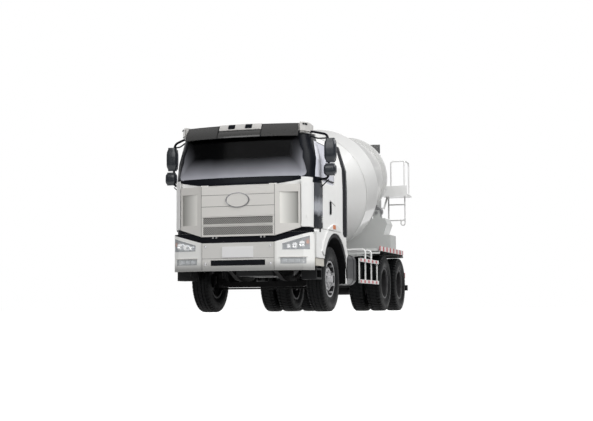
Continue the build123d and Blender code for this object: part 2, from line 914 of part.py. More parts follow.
# Mounting frame and pedestals of the mixer
with BuildPart() as mixer_subframe:
    for side in (1, -1):
        box_between(
            (side * (rail_outer_x - rail_flange), side * rail_outer_x),
            (behind(subframe_front_setback), rail_rear_y),
            (rail_top_z, subframe_top_z),
        )
    for setback in (2520.0, 3250.0, 5600.0, 6500.0, 7720.0):
        box_between(
            (-rail_outer_x + rail_flange - 1, rail_outer_x - rail_flange + 1),
            (behind(setback) - 35, behind(setback) + 35),
            (rail_top_z, subframe_top_z - 12),
        )
save(mixer_subframe, "mixer_subframe")

gearbox_back = on_drum(head_plate_s - seat_gap)
gearbox_front = on_drum(head_plate_s - seat_gap - mixer_gearbox_length)
motor_front = on_drum(head_plate_s - seat_gap - mixer_gearbox_length - mixer_motor_length)
pedestal_front_y = behind(subframe_front_setback + 20)
saddle_low = on_drum(head_plate_s - 250, -mixer_gearbox_radius - seat_gap)
saddle_high = on_drum(head_plate_s - 120, -mixer_gearbox_radius - seat_gap)
saddle_thickness = 26.0
with BuildPart() as front_pedestal:
    for side in (1, -1):
        side_plate(
            [
                (pedestal_front_y, subframe_top_z),
                (pedestal_front_y + 640, subframe_top_z),
                (saddle_high[1], saddle_high[2] - saddle_thickness),
                (saddle_low[1], saddle_low[2] - saddle_thickness),
            ],
            (side * (rail_outer_x - rail_flange), side * (rail_outer_x - rail_flange + 22)),
        )
    side_plate(
        [
            (saddle_low[1], saddle_low[2] - saddle_thickness),
            (saddle_high[1], saddle_high[2] - saddle_thickness),
            (saddle_high[1], saddle_high[2]),
            (saddle_low[1], saddle_low[2]),
        ],
        (-rail_outer_x + rail_flange - 22, rail_outer_x - rail_flange + 22),
    )
save(front_pedestal, "front_pedestal")

with BuildPart() as drum_drive:
    round_bar(gearbox_front, gearbox_back, mixer_gearbox_radius - 25)
    round_bar(motor_front, gearbox_front, mixer_motor_radius)
    with BuildSketch(
        Plane(origin=on_drum(head_plate_s - 200), x_dir=(1, 0, 0), z_dir=drum_axis)
    ) as flange:
        Circle(mixer_gearbox_radius)
    extrude(flange.sketch, amount=60)
save(drum_drive, "drum_drive")

roller_orbit = ring_radius + roller_radius + seat_gap
roller_x = roller_orbit * sin(radians(roller_spread))
roller_drop = -roller_orbit * cos(radians(roller_spread))
roller_middle = on_drum(ring_s, roller_drop)
pedestal_y = (roller_middle[1] - pedestal_reach[0], roller_middle[1] + pedestal_reach[1])
pedestal_plate = 20.0
pedestal_half_top = roller_x + 205
pedestal_top_z = roller_middle[2] - 150
pedestal_notch_z = roller_middle[2] - 290


def pedestal_edge(inset):
    """Right edge of the pedestal in the front view from foot to top, drawn in by an inset."""
    return [
        (rail_outer_x - inset * 1.25, subframe_top_z),
        (rail_outer_x - inset * 1.25, pedestal_block_z[0] + inset),
        (pedestal_block_half - inset, pedestal_block_z[0] + inset),
        (pedestal_block_half - inset, pedestal_block_z[1] - inset),
        (pedestal_waist[0] - inset, pedestal_block_z[1] - inset),
        (pedestal_waist[0] - inset, pedestal_waist[1]),
        (pedestal_shoulder[0] - inset, pedestal_shoulder[1]),
        (pedestal_half_top - inset, pedestal_top_z),
    ]


with BuildPart() as rear_pedestal:
    pedestal_notch = [
        (roller_x - 130, pedestal_top_z),
        (260, pedestal_notch_z),
        (-260, pedestal_notch_z),
        (-roller_x + 130, pedestal_top_z),
    ]
    mirrored_edge = [(-x, z) for x, z in reversed(pedestal_edge(0))]
    for low in (pedestal_y[0], pedestal_y[1] - pedestal_plate):
        front_plate(pedestal_edge(0) + pedestal_notch + mirrored_edge, (low, low + pedestal_plate))
    for side in (1, -1):
        box_between(
            (side * (roller_x - 130), side * pedestal_half_top),
            pedestal_y,
            (pedestal_top_z - 25, pedestal_top_z),
        )
        wall = pedestal_edge(0) + list(reversed(pedestal_edge(pedestal_plate)))
        front_plate([(side * x, z) for x, z in wall], pedestal_y)
        for s in (-roller_width / 2 - 34, roller_width / 2 + 10):
            with BuildSketch(
                Plane(
                    origin=on_drum(ring_s + s, roller_drop, side * roller_x),
                    x_dir=(1, 0, 0),
                    z_dir=drum_axis,
                )
            ) as ear:
                with BuildLine():
                    Polyline((-95, 215), (95, 215), (60, -52), (-60, -52), close=True)
                make_face()
                Circle(roller_pin_radius + running_gap, mode=Mode.SUBTRACT)
            extrude(ear.sketch, amount=24)
        box_between(
            (side * (post_x - post_size / 2), side * (post_x + post_size / 2)),
            (behind(post_setback), behind(post_setback) + post_size),
            (post_foot_z, post_top_z),
        )
        side_plate(
            [
                (pedestal_y[1] - pedestal_plate, pedestal_notch_z - 40),
                (behind(post_setback) + post_size, post_foot_z),
                (behind(post_setback) + post_size, post_foot_z + 130),
                (pedestal_y[1] - pedestal_plate, pedestal_notch_z + 90),
            ],
            (side * (post_x - post_size / 2), side * (post_x + post_size / 2)),
        )
save(rear_pedestal, "rear_pedestal")

for side, hand in ((1, "left"), (-1, "right")):
    with BuildPart() as roller:
        half = roller_width / 2
        ends = half + 48
        turned(
            [
                (-ends, 0),
                (-ends, roller_pin_radius),
                (-half, roller_pin_radius),
                (-half, roller_radius),
                (half, roller_radius),
                (half, roller_pin_radius),
                (ends, roller_pin_radius),
                (ends, 0),
            ],
            on_drum(ring_s, roller_drop, side * roller_x),
            drum_axis,
            (1, 0, 0),
        )
    save(roller, "drum_roller_" + hand)

# Drum
shell = [
    (head_plate_s, 0, head_plate_s + drum_wall, 0),
    (head_plate_s, head_plate_radius, head_plate_s + drum_wall, head_plate_radius),
    (drum_head_s, drum_head_radius, drum_head_s + drum_wall, drum_head_radius - 4),
    (drum_front_s, drum_radius, drum_front_s + 4, drum_radius - drum_wall),
    (drum_middle_s, drum_radius, drum_middle_s, drum_radius - drum_wall),
    (drum_knee_s, drum_knee_radius, drum_knee_s, drum_knee_radius - drum_wall),
    (drum_mouth_s, drum_mouth_radius, drum_mouth_s, drum_mouth_radius - drum_wall),
]


def cone_radius(s):
    """Outer radius of the drum's rear cone."""
    share = (s - drum_knee_s) / (drum_mouth_s - drum_knee_s)
    return drum_knee_radius + (drum_mouth_radius - drum_knee_radius) * share


with BuildPart() as mixer_drum:
    outside = [(s, r) for s, r, _, _ in shell]
    inside = [(s, r) for _, _, s, r in reversed(shell)]
    turned(outside + inside, on_drum(0), drum_axis, drum_up)
    low_s = ring_s - ring_width / 2
    high_s = ring_s + ring_width / 2
    turned(
        [
            (low_s, cone_radius(low_s) - 4),
            (low_s, ring_radius),
            (high_s, ring_radius),
            (high_s, cone_radius(high_s) - 4),
        ],
        on_drum(0),
        drum_axis,
        drum_up,
    )
save(mixer_drum, "mixer_drum")

# Hopper and discharge funnel


def funnel_ring(z, half, y_low, y_high, wall):
    with BuildSketch(Plane.XY.offset(z)) as section:
        with Locations((0, (y_low + y_high) / 2)):
            Rectangle(2 * (half - wall), y_high - y_low - 2 * wall)
    return section.sketch


def hopper_half(z):
    """Half width of the hopper outside at a height."""
    share = min(1, (z - hopper_throat_z) / (hopper_collar_z - hopper_throat_z))
    return hopper_throat_half + (hopper_half_width - hopper_throat_half) * share


def funnel_half(z):
    """Half width of the discharge funnel outside at a height."""
    share = (z - funnel_bottom_z) / (funnel_top_z - funnel_bottom_z)
    return funnel_half_bottom + (funnel_half_top - funnel_half_bottom) * share


with BuildPart() as hopper:
    hopper_levels = (
        (hopper_top_z, hopper_half_width, hopper_setback),
        (hopper_collar_z, hopper_half_width, hopper_setback),
        (hopper_throat_z, hopper_throat_half, hopper_throat_setback),
    )
    loft([funnel_ring(z, half, behind(s[0]), behind(s[1]), 0) for z, half, s in hopper_levels], ruled=True)
    loft(
        [funnel_ring(z, half, behind(s[0]), behind(s[1]), hopper_wall) for z, half, s in hopper_levels],
        ruled=True,
        mode=Mode.SUBTRACT,
    )
    side_plate(
        [
            (behind(hopper_setback[0]) - 20, hopper_top_z - hopper_rim_drop),
            (behind(hopper_setback[0]), hopper_top_z - hopper_rim_drop),
            (behind(hopper_setback[1]), hopper_top_z),
            (behind(hopper_setback[0]) - 20, hopper_top_z + 20),
        ],
        (-hopper_half_width - 20, hopper_half_width + 20),
        mode=Mode.SUBTRACT,
    )
    for side in (1, -1):
        front_plate(
            [(side * (hopper_half(z) - 6), z) for z in hopper_lug_z]
            + [(side * (post_x - post_size / 2 - seat_gap), z) for z in reversed(hopper_lug_z)],
            (behind(post_setback) + 10, behind(post_setback) + post_size - 10),
        )
save(hopper, "hopper")

with BuildPart() as discharge_funnel:
    for side in (1, -1):
        front_plate(
            [
                (side * funnel_half_top, funnel_top_z),
                (side * (funnel_half_top - hopper_wall), funnel_top_z),
                (side * (funnel_half_bottom - hopper_wall), funnel_bottom_z),
                (side * funnel_half_bottom, funnel_bottom_z),
            ],
            (behind(funnel_setback[0]), behind(funnel_setback[1])),
        )
    front_plate(
        [
            (-funnel_half_top, funnel_top_z),
            (funnel_half_top, funnel_top_z),
            (funnel_half_bottom, funnel_bottom_z),
            (-funnel_half_bottom, funnel_bottom_z),
        ],
        (behind(funnel_setback[1]) - hopper_wall, behind(funnel_setback[1])),
    )
    for side in (1, -1):
        for heights in funnel_lug_zs:
            front_plate(
                [(side * (funnel_half(z) - 6), z) for z in heights]
                + [(side * (post_x - post_size / 2 - seat_gap), z) for z in reversed(heights)],
                (behind(post_setback) + 10, behind(post_setback) + post_size - 10),
            )
save(discharge_funnel, "discharge_funnel")

# Chute on its post
slope = radians(chute_slope)
chute_way = Vector(0, cos(slope), -sin(slope))
chute_up = Vector(0, sin(slope), cos(slope))
chute_pivot = Vector(0, chute_post_y, chute_pivot_z)
chute_length = chute_reach / cos(slope)
jack_foot_at = Vector(0, chute_post_y + jack_foot[0], jack_foot[1])
jack_eye_at = chute_pivot + chute_way * jack_eye_along - chute_up * jack_eye_drop
jack_way = (jack_eye_at - jack_foot_at).normalized()


def side_view(place):
    """A place's (y, z) in the side view."""
    return (place.Y, place.Z)


ear_x = (chute_radius + turret_ear_gap, chute_radius + turret_ear_gap + turret_ear_thickness)
cradle_z = chute_pivot_z - chute_radius - 120
with BuildPart() as chute_turret:
    round_bar(
        (0, chute_post_y, turret_socket_z[0]),
        (0, chute_post_y, cradle_z),
        turret_radius,
    )
    round_bar(
        (0, chute_post_y, turret_socket_z[1] + seat_gap),
        (0, chute_post_y, turret_socket_z[1] + 30),
        turret_socket_radius,
    )
    for side in (1, -1):
        side_plate(
            [
                (chute_post_y - 60, cradle_z),
                (chute_post_y + 60, cradle_z),
                (chute_post_y + 36, chute_pivot_z + 36),
                (chute_post_y - 36, chute_pivot_z + 36),
            ],
            (side * ear_x[0], side * ear_x[1]),
        )
    box_between(
        (-ear_x[1], ear_x[1]),
        (chute_post_y - 60, chute_post_y + 60),
        (cradle_z - 20, cradle_z),
    )
    round_bar(
        (-ear_x[1] - 5, chute_post_y, chute_pivot_z),
        (ear_x[1] + 5, chute_post_y, chute_pivot_z),
        chute_pin_radius + running_gap,
        mode=Mode.SUBTRACT,
    )
    for side in (1, -1):
        side_plate(
            [
                (chute_post_y + turret_socket_radius + swing_gap, jack_foot[1] - 38),
                (jack_foot_at.Y + 22, jack_foot[1] - 38),
                (jack_foot_at.Y + 40, jack_foot[1] - 12),
                (jack_foot_at.Y + 40, turret_socket_z[1] + 4),
                (jack_foot_at.Y + 10, turret_socket_z[1] + 30),
                (chute_post_y, turret_socket_z[1] + 30),
                (chute_post_y, turret_socket_z[1] + seat_gap),
                (
                    chute_post_y + turret_socket_radius + swing_gap,
                    turret_socket_z[1] + seat_gap,
                ),
            ],
            (side * (jack_width / 2 + 2), side * (jack_width / 2 + 18)),
        )
    round_bar(
        (-jack_width / 2 - 18, jack_foot_at.Y, jack_foot[1]),
        (jack_width / 2 + 18, jack_foot_at.Y, jack_foot[1]),
        jack_pin_radius,
    )
save(chute_turret, "chute_turret")

with BuildPart() as chute:
    with BuildSketch(
        Plane(origin=chute_pivot - chute_way * chute_head, x_dir=(1, 0, 0), z_dir=chute_way)
    ) as trough:
        Circle(chute_radius)
        Circle(chute_radius - chute_wall, mode=Mode.SUBTRACT)
        with Locations((0, -chute_radius)):
            Rectangle(2 * chute_radius + 2, 2 * chute_radius, mode=Mode.SUBTRACT)
    extrude(trough.sketch, amount=chute_head + chute_length)
    for side in (1, -1):
        with BuildSketch(
            Plane(origin=chute_pivot - chute_way * chute_head, x_dir=(1, 0, 0), z_dir=chute_way)
        ) as rim:
            with Locations((side * (chute_radius + 4), 12)):
                Rectangle(26, 24)
        extrude(rim.sketch, amount=chute_head + chute_length)
        round_bar(
            (side * (chute_radius - 4), chute_post_y, chute_pivot_z),
            (side * ear_x[1], chute_post_y, chute_pivot_z),
            chute_pin_radius,
        )
        with BuildSketch(Plane.YZ.offset(side * (jack_width / 2 + 10) - 8)) as jack_lug:
            with BuildLine():
                Polyline(
                    side_view(jack_eye_at - chute_up * 26 - chute_way * 30),
                    side_view(jack_eye_at - chute_up * 26 + chute_way * 30),
                    side_view(jack_eye_at + chute_up * 72 + chute_way * 70),
                    side_view(jack_eye_at + chute_up * 72 - chute_way * 70),
                    close=True,
                )
            make_face()
        extrude(jack_lug.sketch, amount=16)
        round_bar(
            (side * (jack_width / 2 + 6), jack_eye_at.Y, jack_eye_at.Z),
            (side * (jack_width / 2 + 26), jack_eye_at.Y, jack_eye_at.Z),
            jack_pin_radius + 6,
        )
save(chute, "chute")

with BuildPart() as jack_barrel:
    round_bar(
        jack_foot_at + jack_way * 10,
        jack_foot_at + jack_way * jack_barrel_length,
        jack_barrel_radius,
    )
    round_bar(
        (-jack_width / 2, jack_foot_at.Y, jack_foot_at.Z),
        (jack_width / 2, jack_foot_at.Y, jack_foot_at.Z),
        jack_eye_radius,
    )
    round_bar(
        (-jack_width, jack_foot_at.Y, jack_foot_at.Z),
        (jack_width, jack_foot_at.Y, jack_foot_at.Z),
        jack_pin_radius + running_gap,
        mode=Mode.SUBTRACT,
    )
    round_bar(
        jack_foot_at + jack_way * (jack_eye_radius + 14),
        jack_foot_at + jack_way * (jack_barrel_length + 5),
        jack_rod_radius + running_gap,
        mode=Mode.SUBTRACT,
    )
save(jack_barrel, "jack_barrel")

jack_length = (jack_eye_at - jack_foot_at).length
with BuildPart() as jack_rod:
    round_bar(
        jack_foot_at + jack_way * (jack_length - jack_barrel_length + 30),
        jack_eye_at - jack_way * 10,
        jack_rod_radius,
    )
    round_bar(
        (-jack_width / 2, jack_eye_at.Y, jack_eye_at.Z),
        (jack_width / 2, jack_eye_at.Y, jack_eye_at.Z),
        jack_eye_radius,
    )
save(jack_rod, "jack_rod")

# Ladder and platform
ladder_y = behind(platform_setback[1]) - tube_radius
with BuildPart() as ladder_platform:
    box_between(
        platform_x,
        (behind(platform_setback[0]), behind(platform_setback[1]) - 2 * tube_radius + 4),
        platform_z,
    )
    box_between(
        platform_x,
        (behind(platform_setback[0]), behind(platform_setback[0]) + 8),
        (platform_z[1] - 2, platform_z[1] + toe_board_height),
    )
    for z in (platform_z[0] + 12, platform_z[0] - 260):
        box_between(
            (post_x + post_size / 2 - 0.0, platform_x[0] + 40),
            (behind(post_setback) + 10, behind(post_setback) + 60),
            (z - 12, z + 16),
        )
    side_plate(
        [
            (behind(post_setback) + 10, platform_z[0] - 250),
            (behind(post_setback) + 60, platform_z[0] - 272),
            (behind(platform_setback[1]) - 90, platform_z[0] + 6),
            (behind(platform_setback[1]) - 150, platform_z[0] + 6),
        ],
        (platform_x[0] + 4, platform_x[0] + 34),
    )
    round_bar(
        (ladder_x[0], ladder_y, ladder_bottom_z), (ladder_x[0], ladder_y, platform_z[1]), tube_radius
    )
    bent_tube(
        [
            (ladder_x[1], ladder_y, platform_z[1]),
            (ladder_x[1], ladder_y, ladder_bottom_z - ladder_hoop[1]),
            (ladder_x[1] - ladder_hoop[0], ladder_y, ladder_bottom_z - ladder_hoop[1]),
            (ladder_x[1] - ladder_hoop[0], ladder_y, rung_z[0]),
        ],
        tube_radius - 3,
        ladder_hoop[0] / 2 - 1,
    )
    for z in rung_z:
        round_bar((ladder_x[0], ladder_y, z), (ladder_x[1], ladder_y, z), tube_radius - 3)
    guard_x = platform_x[1] - 60
    bent_tube(
        [
            (guard_x, behind(platform_setback[0]) + 40, platform_z[0] + 10),
            (guard_x, behind(platform_setback[0]) + 40, guard_top_z),
            (guard_x, ladder_y, guard_top_z),
            (guard_x, ladder_y, platform_z[0] + 10),
        ],
        tube_radius,
        70.0,
    )
    bent_tube(
        [
            (ladder_x[0] + guard_inset, behind(platform_setback[0]) + 40, platform_z[0] + 10),
            (ladder_x[0] + guard_inset, behind(platform_setback[0]) + 40, guard_top_z - 4),
            (guard_x, behind(platform_setback[0]) + 40, guard_top_z - 4),
        ],
        tube_radius,
        60.0,
    )
save(ladder_platform, "ladder_platform")

# Side guards
with BuildPart() as side_guards:
    for side in (1, -1):
        outer = side * side_half_width
        inner = side * (side_half_width - guard_rail_thickness)
        for low in (guard_z[0], guard_z[1] - guard_rail_height):
            box_between(
                (inner, outer),
                (behind(guard_setback[0]), behind(guard_setback[1])),
                (low, low + guard_rail_height),
            )
        pitch = (guard_setback[1] - guard_setback[0] - guard_post_width) / (guard_posts - 1)
        for number in range(guard_posts):
            low = guard_setback[0] + number * pitch
            box_between(
                (inner - side * 14, inner + side * 1),
                (behind(low), behind(low + guard_post_width)),
                guard_z,
            )
        for number in (1, 2):
            y = behind(guard_setback[0] + number * pitch + guard_post_width / 2)
            bent_tube(
                [
                    (inner - side * 8, y, guard_z[1] - 40),
                    (inner - side * 8, y, subframe_top_z + 60),
                    (side * (rail_outer_x + 40), y, subframe_top_z + 60),
                    (side * (rail_outer_x + 40), y, rail_top_z - 60),
                ],
                19.0,
                58.0,
            )
            box_between(
                (side * (rail_outer_x + seat_gap), side * (rail_outer_x + 46)),
                (y - 40, y + 40),
                (rail_top_z - 150, rail_top_z - 30),
            )
save(side_guards, "side_guards")

# Rear fenders
with BuildPart() as rear_fenders:
    for side in (1, -1):
        y_span = (behind(fender_setback[0]), behind(fender_setback[1]))
        low = fender_skirt_z
        side_plate(
            [
                (y_span[0], low - fender_drop),
                (y_span[0] + fender_thickness, low - fender_drop),
                (y_span[0] + fender_thickness + 60, low + 40),
                (y_span[1] - fender_thickness - 60, low + 40),
                (y_span[1] - fender_thickness, low - fender_drop),
                (y_span[1], low - fender_drop),
                (y_span[1] - 60, low + 40 + fender_thickness),
                (y_span[0] + 60, low + 40 + fender_thickness),
            ],
            (side * fender_inner_x, side * (side_half_width + 5)),
        )
        box_between(
            (side * (side_half_width - fender_thickness), side * (side_half_width + 5)),
            (y_span[0] + 60, y_span[1] - 60),
            (low, low + fender_skirt_height),
        )
        for setback in (fender_setback[0] + 400, bogie_y - face_y, fender_setback[1] - 330):
            y = behind(setback)
            box_between(
                (side * (rail_outer_x + seat_gap), side * (fender_inner_x + 200)),
                (y - 35, y + 35),
                (low + 40 + fender_thickness - 1, low + 40 + fender_thickness + 34),
            )
            box_between(
                (side * (rail_outer_x + seat_gap), side * (rail_outer_x + 30)),
                (y - 35, y + 35),
                (rail_top_z - 120, low + 40 + fender_thickness + 10),
            )
save(rear_fenders, "rear_fenders")

# Tanks between the axles
with BuildPart() as fuel_tank:
    with BuildSketch(Plane.XZ.offset(-behind(tank_setback[0]))) as tank_end:
        with Locations((sum(tank_x) / 2, sum(tank_z) / 2)):
            RectangleRounded(tank_x[1] - tank_x[0], tank_z[1] - tank_z[0], tank_round)
    extrude(tank_end.sketch, amount=-(tank_setback[1] - tank_setback[0]))
    for share in (0.22, 0.78):
        y = behind(tank_setback[0] + share * (tank_setback[1] - tank_setback[0]))
        with BuildSketch(Plane.XZ.offset(-y - strap_width / 2)) as strap:
            with Locations((sum(tank_x) / 2, sum(tank_z) / 2)):
                RectangleRounded(
                    tank_x[1] - tank_x[0] + 2 * strap_thickness,
                    tank_z[1] - tank_z[0] + 2 * strap_thickness,
                    tank_round + strap_thickness,
                )
        extrude(strap.sketch, amount=strap_width)
        box_between(
            (rail_outer_x + seat_gap, tank_x[0] + 40),
            (y - strap_width / 2, y + strap_width / 2),
            (rail_bottom_z + 10, rail_top_z - 40),
        )
save(fuel_tank, "fuel_tank")

with BuildPart() as air_tanks:
    for z in (590.0, 880.0):
        x = -(rail_outer_x + 60 + air_tank_radius)
        with BuildSketch(Plane.XZ.offset(-behind(tank_setback[0]))) as tank_end:
            with Locations((x, z)):
                Circle(air_tank_radius)
        extrude(tank_end.sketch, amount=-air_tank_length)
        for share in (0.2, 0.8):
            y = behind(tank_setback[0] + share * air_tank_length)
            box_between(
                (x + 20, -rail_outer_x - seat_gap),
                (y - 20, y + 20),
                (z - 30, z + 30),
            )
            box_between(
                (-rail_outer_x - 30, -rail_outer_x - seat_gap),
                (y - 20, y + 20),
                (z - 30, rail_bottom_z + 130),
            )
    box_between(
        (-1150, -780),
        (behind(tank_setback[0]), behind(tank_setback[0]) + air_tank_length),
        (540, 960),
    )
    box_between(
        (-790, -rail_outer_x - seat_gap),
        (behind(tank_setback[0]) + 290, behind(tank_setback[0]) + 350),
        (rail_bottom_z + 20, rail_bottom_z + 80),
    )
save(air_tanks, "air_tanks")

# Rear underrun bar and tail lamps
underrun_y = behind(underrun_setback)
with BuildPart() as underrun_bar:
    box_between((-underrun_half, underrun_half), (underrun_y, underrun_y + underrun_depth), underrun_z)
    for side in (1, -1):
        side_plate(
            [
                (underrun_y, underrun_z[0] + 10),
                (underrun_y + underrun_depth, underrun_z[0] + 10),
                (underrun_y + underrun_depth + 60, rail_top_z - 60),
                (underrun_y - 60, rail_top_z - 60),
            ],
            (side * (rail_outer_x + seat_gap), side * (rail_outer_x + 16)),
        )
        box_between(
            (side * (rail_outer_x + 10), side * tail_lamp_x[1]),
            (underrun_y + 10, underrun_y + 50),
            (tail_lamp_z[0] + 20, tail_lamp_z[1] - 20),
        )
save(underrun_bar, "underrun_bar")

with BuildPart() as tail_lamps:
    for side in (1, -1):
        box_between(
            (side * tail_lamp_x[0], side * tail_lamp_x[1]),
            (underrun_y + 50 + seat_gap, underrun_y + 50 + tail_lamp_depth),
            tail_lamp_z,
        )
save(tail_lamps, "tail_lamps")

# Cab body
# Columns: height, middle of the front, half width of the front, its corner, start of the
# side, half width, rear. All but the heights and half widths lie behind the cab face.
cab_levels = [
    (cab_floor_z, 60.0, 1000.0, 168.0, 520.0, 1216.0, cab_length),
    (cab_belt_z, 42.0, 1012.0, 160.0, 520.0, cab_half_width, cab_length),
    (cab_shoulder_z, 100.0, 985.0, 218.0, 540.0, 1208.0, cab_length),
    (cab_eaves_z, 165.0, 950.0, 284.0, 580.0, 1092.0, cab_length - 15),
    (cab_roof_z, 330.0, 860.0, 440.0, 640.0, 960.0, cab_length - 90),
]


def cab_volume(inset):
    """Solid inside the cab's skin, drawn in by an inset on every side."""
    sections = []
    for z, front, half_front, corner, side, half, rear in cab_levels:
        height = min(max(z, cab_floor_z + inset), cab_roof_z - inset)
        nose = behind(front + inset)
        corner_at = (half_front - inset * 0.3, behind(corner + inset * 0.9))
        side_at = (half - inset, behind(side + inset * 0.3))
        round_at = (
            corner_at[0] + (side_at[0] - corner_at[0]) * 0.66,
            corner_at[1] + (side_at[1] - corner_at[1]) * 0.34,
        )
        with BuildSketch(Plane.XY.offset(height)) as section:
            with BuildLine():
                ThreePointArc((-corner_at[0], corner_at[1]), (0, nose), corner_at)
                ThreePointArc(corner_at, round_at, side_at)
                Polyline(
                    side_at,
                    (half - inset, behind(rear - inset)),
                    (-half + inset, behind(rear - inset)),
                    (-side_at[0], side_at[1]),
                )
                ThreePointArc(
                    (-side_at[0], side_at[1]),
                    (-round_at[0], round_at[1]),
                    (-corner_at[0], corner_at[1]),
                )
            make_face()
        sections.append(section.sketch)
    return loft(sections, ruled=True, mode=Mode.PRIVATE)


cab_outside = cab_volume(0.0)
cab_clear = cab_volume(-seat_gap)
cab_inside = cab_volume(cab_wall)
cab_cabin = cab_volume(cab_wall + seat_gap)
glass_outside = cab_volume(18.0)
glass_inside = cab_volume(18.0 + glass_thickness)
door_hinge_x = cab_half_width + 5
door_hinge_y = behind(door_front_setback - door_hinge_radius - 4)
door_hinge_zs = (1480.0, 1960.0)
lid_hinge_y = behind(lid_hinge_setback)
cab_lug_xs = (
    (cab_hinge_x - hinge_lug_width - 3, cab_hinge_x - 3),
    (cab_hinge_x + hinge_lug_width + 3, cab_hinge_x + 2 * hinge_lug_width + 3),
)


def door_outline(grow, lean=0.0):
    """Door in the side view, as (y, z), grown by a gap all round."""
    front = behind(door_front_setback) - grow
    rear = behind(door_rear_setback) + grow
    return [
        (front, door_sill_z - grow),
        (rear, door_sill_z - grow),
        (rear, cab_shoulder_z),
        (rear - lean, door_top_z + grow),
        (front + 75, door_top_z + grow),
        (front, window_sill_z + 120),
    ]


def side_window_outline(shrink):
    """Door window in the side view, as (y, z), drawn in by a gap."""
    front = behind(door_front_setback + window_margin) + shrink
    rear = behind(door_rear_setback - window_margin) - shrink
    return [
        (front, window_sill_z + shrink),
        (rear, window_sill_z + shrink),
        (rear, window_top_z - shrink),
        (front + 62, window_top_z - shrink),
    ]


def screen_outline(shrink):
    """Windscreen in the front view, as (x, z), drawn in by a gap."""
    bottom = screen_half_bottom - shrink
    top = screen_half_top - shrink
    return [
        (-bottom, screen_sill_z + shrink),
        (bottom, screen_sill_z + shrink),
        (top, screen_top_z - shrink),
        (-top, screen_top_z - shrink),
    ]


with BuildPart() as cab_shell:
    add(cab_outside)
    add(cab_inside, mode=Mode.SUBTRACT)
    front_plate(screen_outline(0.0), (behind(-50), behind(420)), mode=Mode.SUBTRACT)
    for side in (1, -1):
        side_plate(door_outline(body_gap), (side * 960, side * 1300), mode=Mode.SUBTRACT)
        for z in door_hinge_zs:
            box_between(
                (side * (cab_half_width - 30), side * (cab_half_width + 40)),
                (door_hinge_y - 20, door_hinge_y + 32),
                (z - door_hinge_length / 2, z + door_hinge_length / 2),
                mode=Mode.SUBTRACT,
            )
            for end in (-1, 1):
                low = z + end * door_hinge_length / 2
                round_bar(
                    (side * door_hinge_x, door_hinge_y, low),
                    (side * door_hinge_x, door_hinge_y, low + end * 26),
                    door_hinge_radius,
                )
                box_between(
                    (side * (cab_half_width - 20), side * door_hinge_x),
                    (door_hinge_y - 30, door_hinge_y),
                    (low, low + end * 26),
                )
        for low_x, high_x in cab_lug_xs:
            side_plate(
                [
                    (cab_hinge_y + 10, cab_hinge_z - 26),
                    (cab_hinge_y + 120, cab_floor_z + 4),
                    (cab_hinge_y + 120, cab_floor_z + 30),
                    (cab_hinge_y + 30, cab_floor_z + 30),
                    (cab_hinge_y - 24, cab_hinge_z + 14),
                ],
                (side * low_x, side * high_x),
            )
            round_bar(
                (side * low_x, cab_hinge_y, cab_hinge_z),
                (side * high_x, cab_hinge_y, cab_hinge_z),
                hinge_lug_radius,
            )
        round_bar(
            (side * (cab_lug_xs[0][0] - 5), cab_hinge_y, cab_hinge_z),
            (side * (cab_lug_xs[1][1] + 5), cab_hinge_y, cab_hinge_z),
            cab_hinge_radius + running_gap,
            mode=Mode.SUBTRACT,
        )
    for x in lid_knuckle_xs:
        ends = (x - 20, x + lid_knuckle_length + 20)
        for low, high in ((ends[0], x - seat_gap), (x + lid_knuckle_length + seat_gap, ends[1])):
            round_bar(
                (low, lid_hinge_y, lid_hinge_z),
                (high, lid_hinge_y, lid_hinge_z),
                lid_knuckle_radius + 1,
            )
            box_between(
                (low, high),
                (lid_hinge_y, behind(110)),
                (lid_hinge_z - 8, lid_hinge_z + 8),
            )
        round_bar(
            (ends[0], lid_hinge_y, lid_hinge_z), (ends[1], lid_hinge_y, lid_hinge_z), lid_pin_radius
        )
save(cab_shell, "cab_shell")

for side, hand in ((1, "left"), (-1, "right")):
    with BuildPart() as door:
        add(cab_outside)
        add(cab_inside, mode=Mode.SUBTRACT)
        side_plate(door_outline(0.0, door_lean), (side * 960, side * 1300), mode=Mode.INTERSECT)
        side_plate(side_window_outline(0.0), (side * 960, side * 1300), mode=Mode.SUBTRACT)
        for z in door_hinge_zs:
            low = z - door_hinge_length / 2 + seat_gap
            high = z + door_hinge_length / 2 - seat_gap
            round_bar(
                (side * door_hinge_x, door_hinge_y, low),
                (side * door_hinge_x, door_hinge_y, high),
                door_hinge_radius,
            )
            box_between(
                (side * (cab_half_width - 14), side * (door_hinge_x + 4)),
                (door_hinge_y, behind(door_front_setback) + 30),
                (low, high),
            )
    save(door, "door_" + hand)

    with BuildPart() as door_glass:
        add(glass_outside)
        add(glass_inside, mode=Mode.SUBTRACT)
        side_plate(side_window_outline(seat_gap), (side * 960, side * 1300), mode=Mode.INTERSECT)
    save(door_glass, "door_glass_" + hand)

with BuildPart() as windscreen:
    add(glass_outside)
    add(glass_inside, mode=Mode.SUBTRACT)
    front_plate(screen_outline(seat_gap), (behind(-50), behind(420)), mode=Mode.INTERSECT)
save(windscreen, "windscreen")

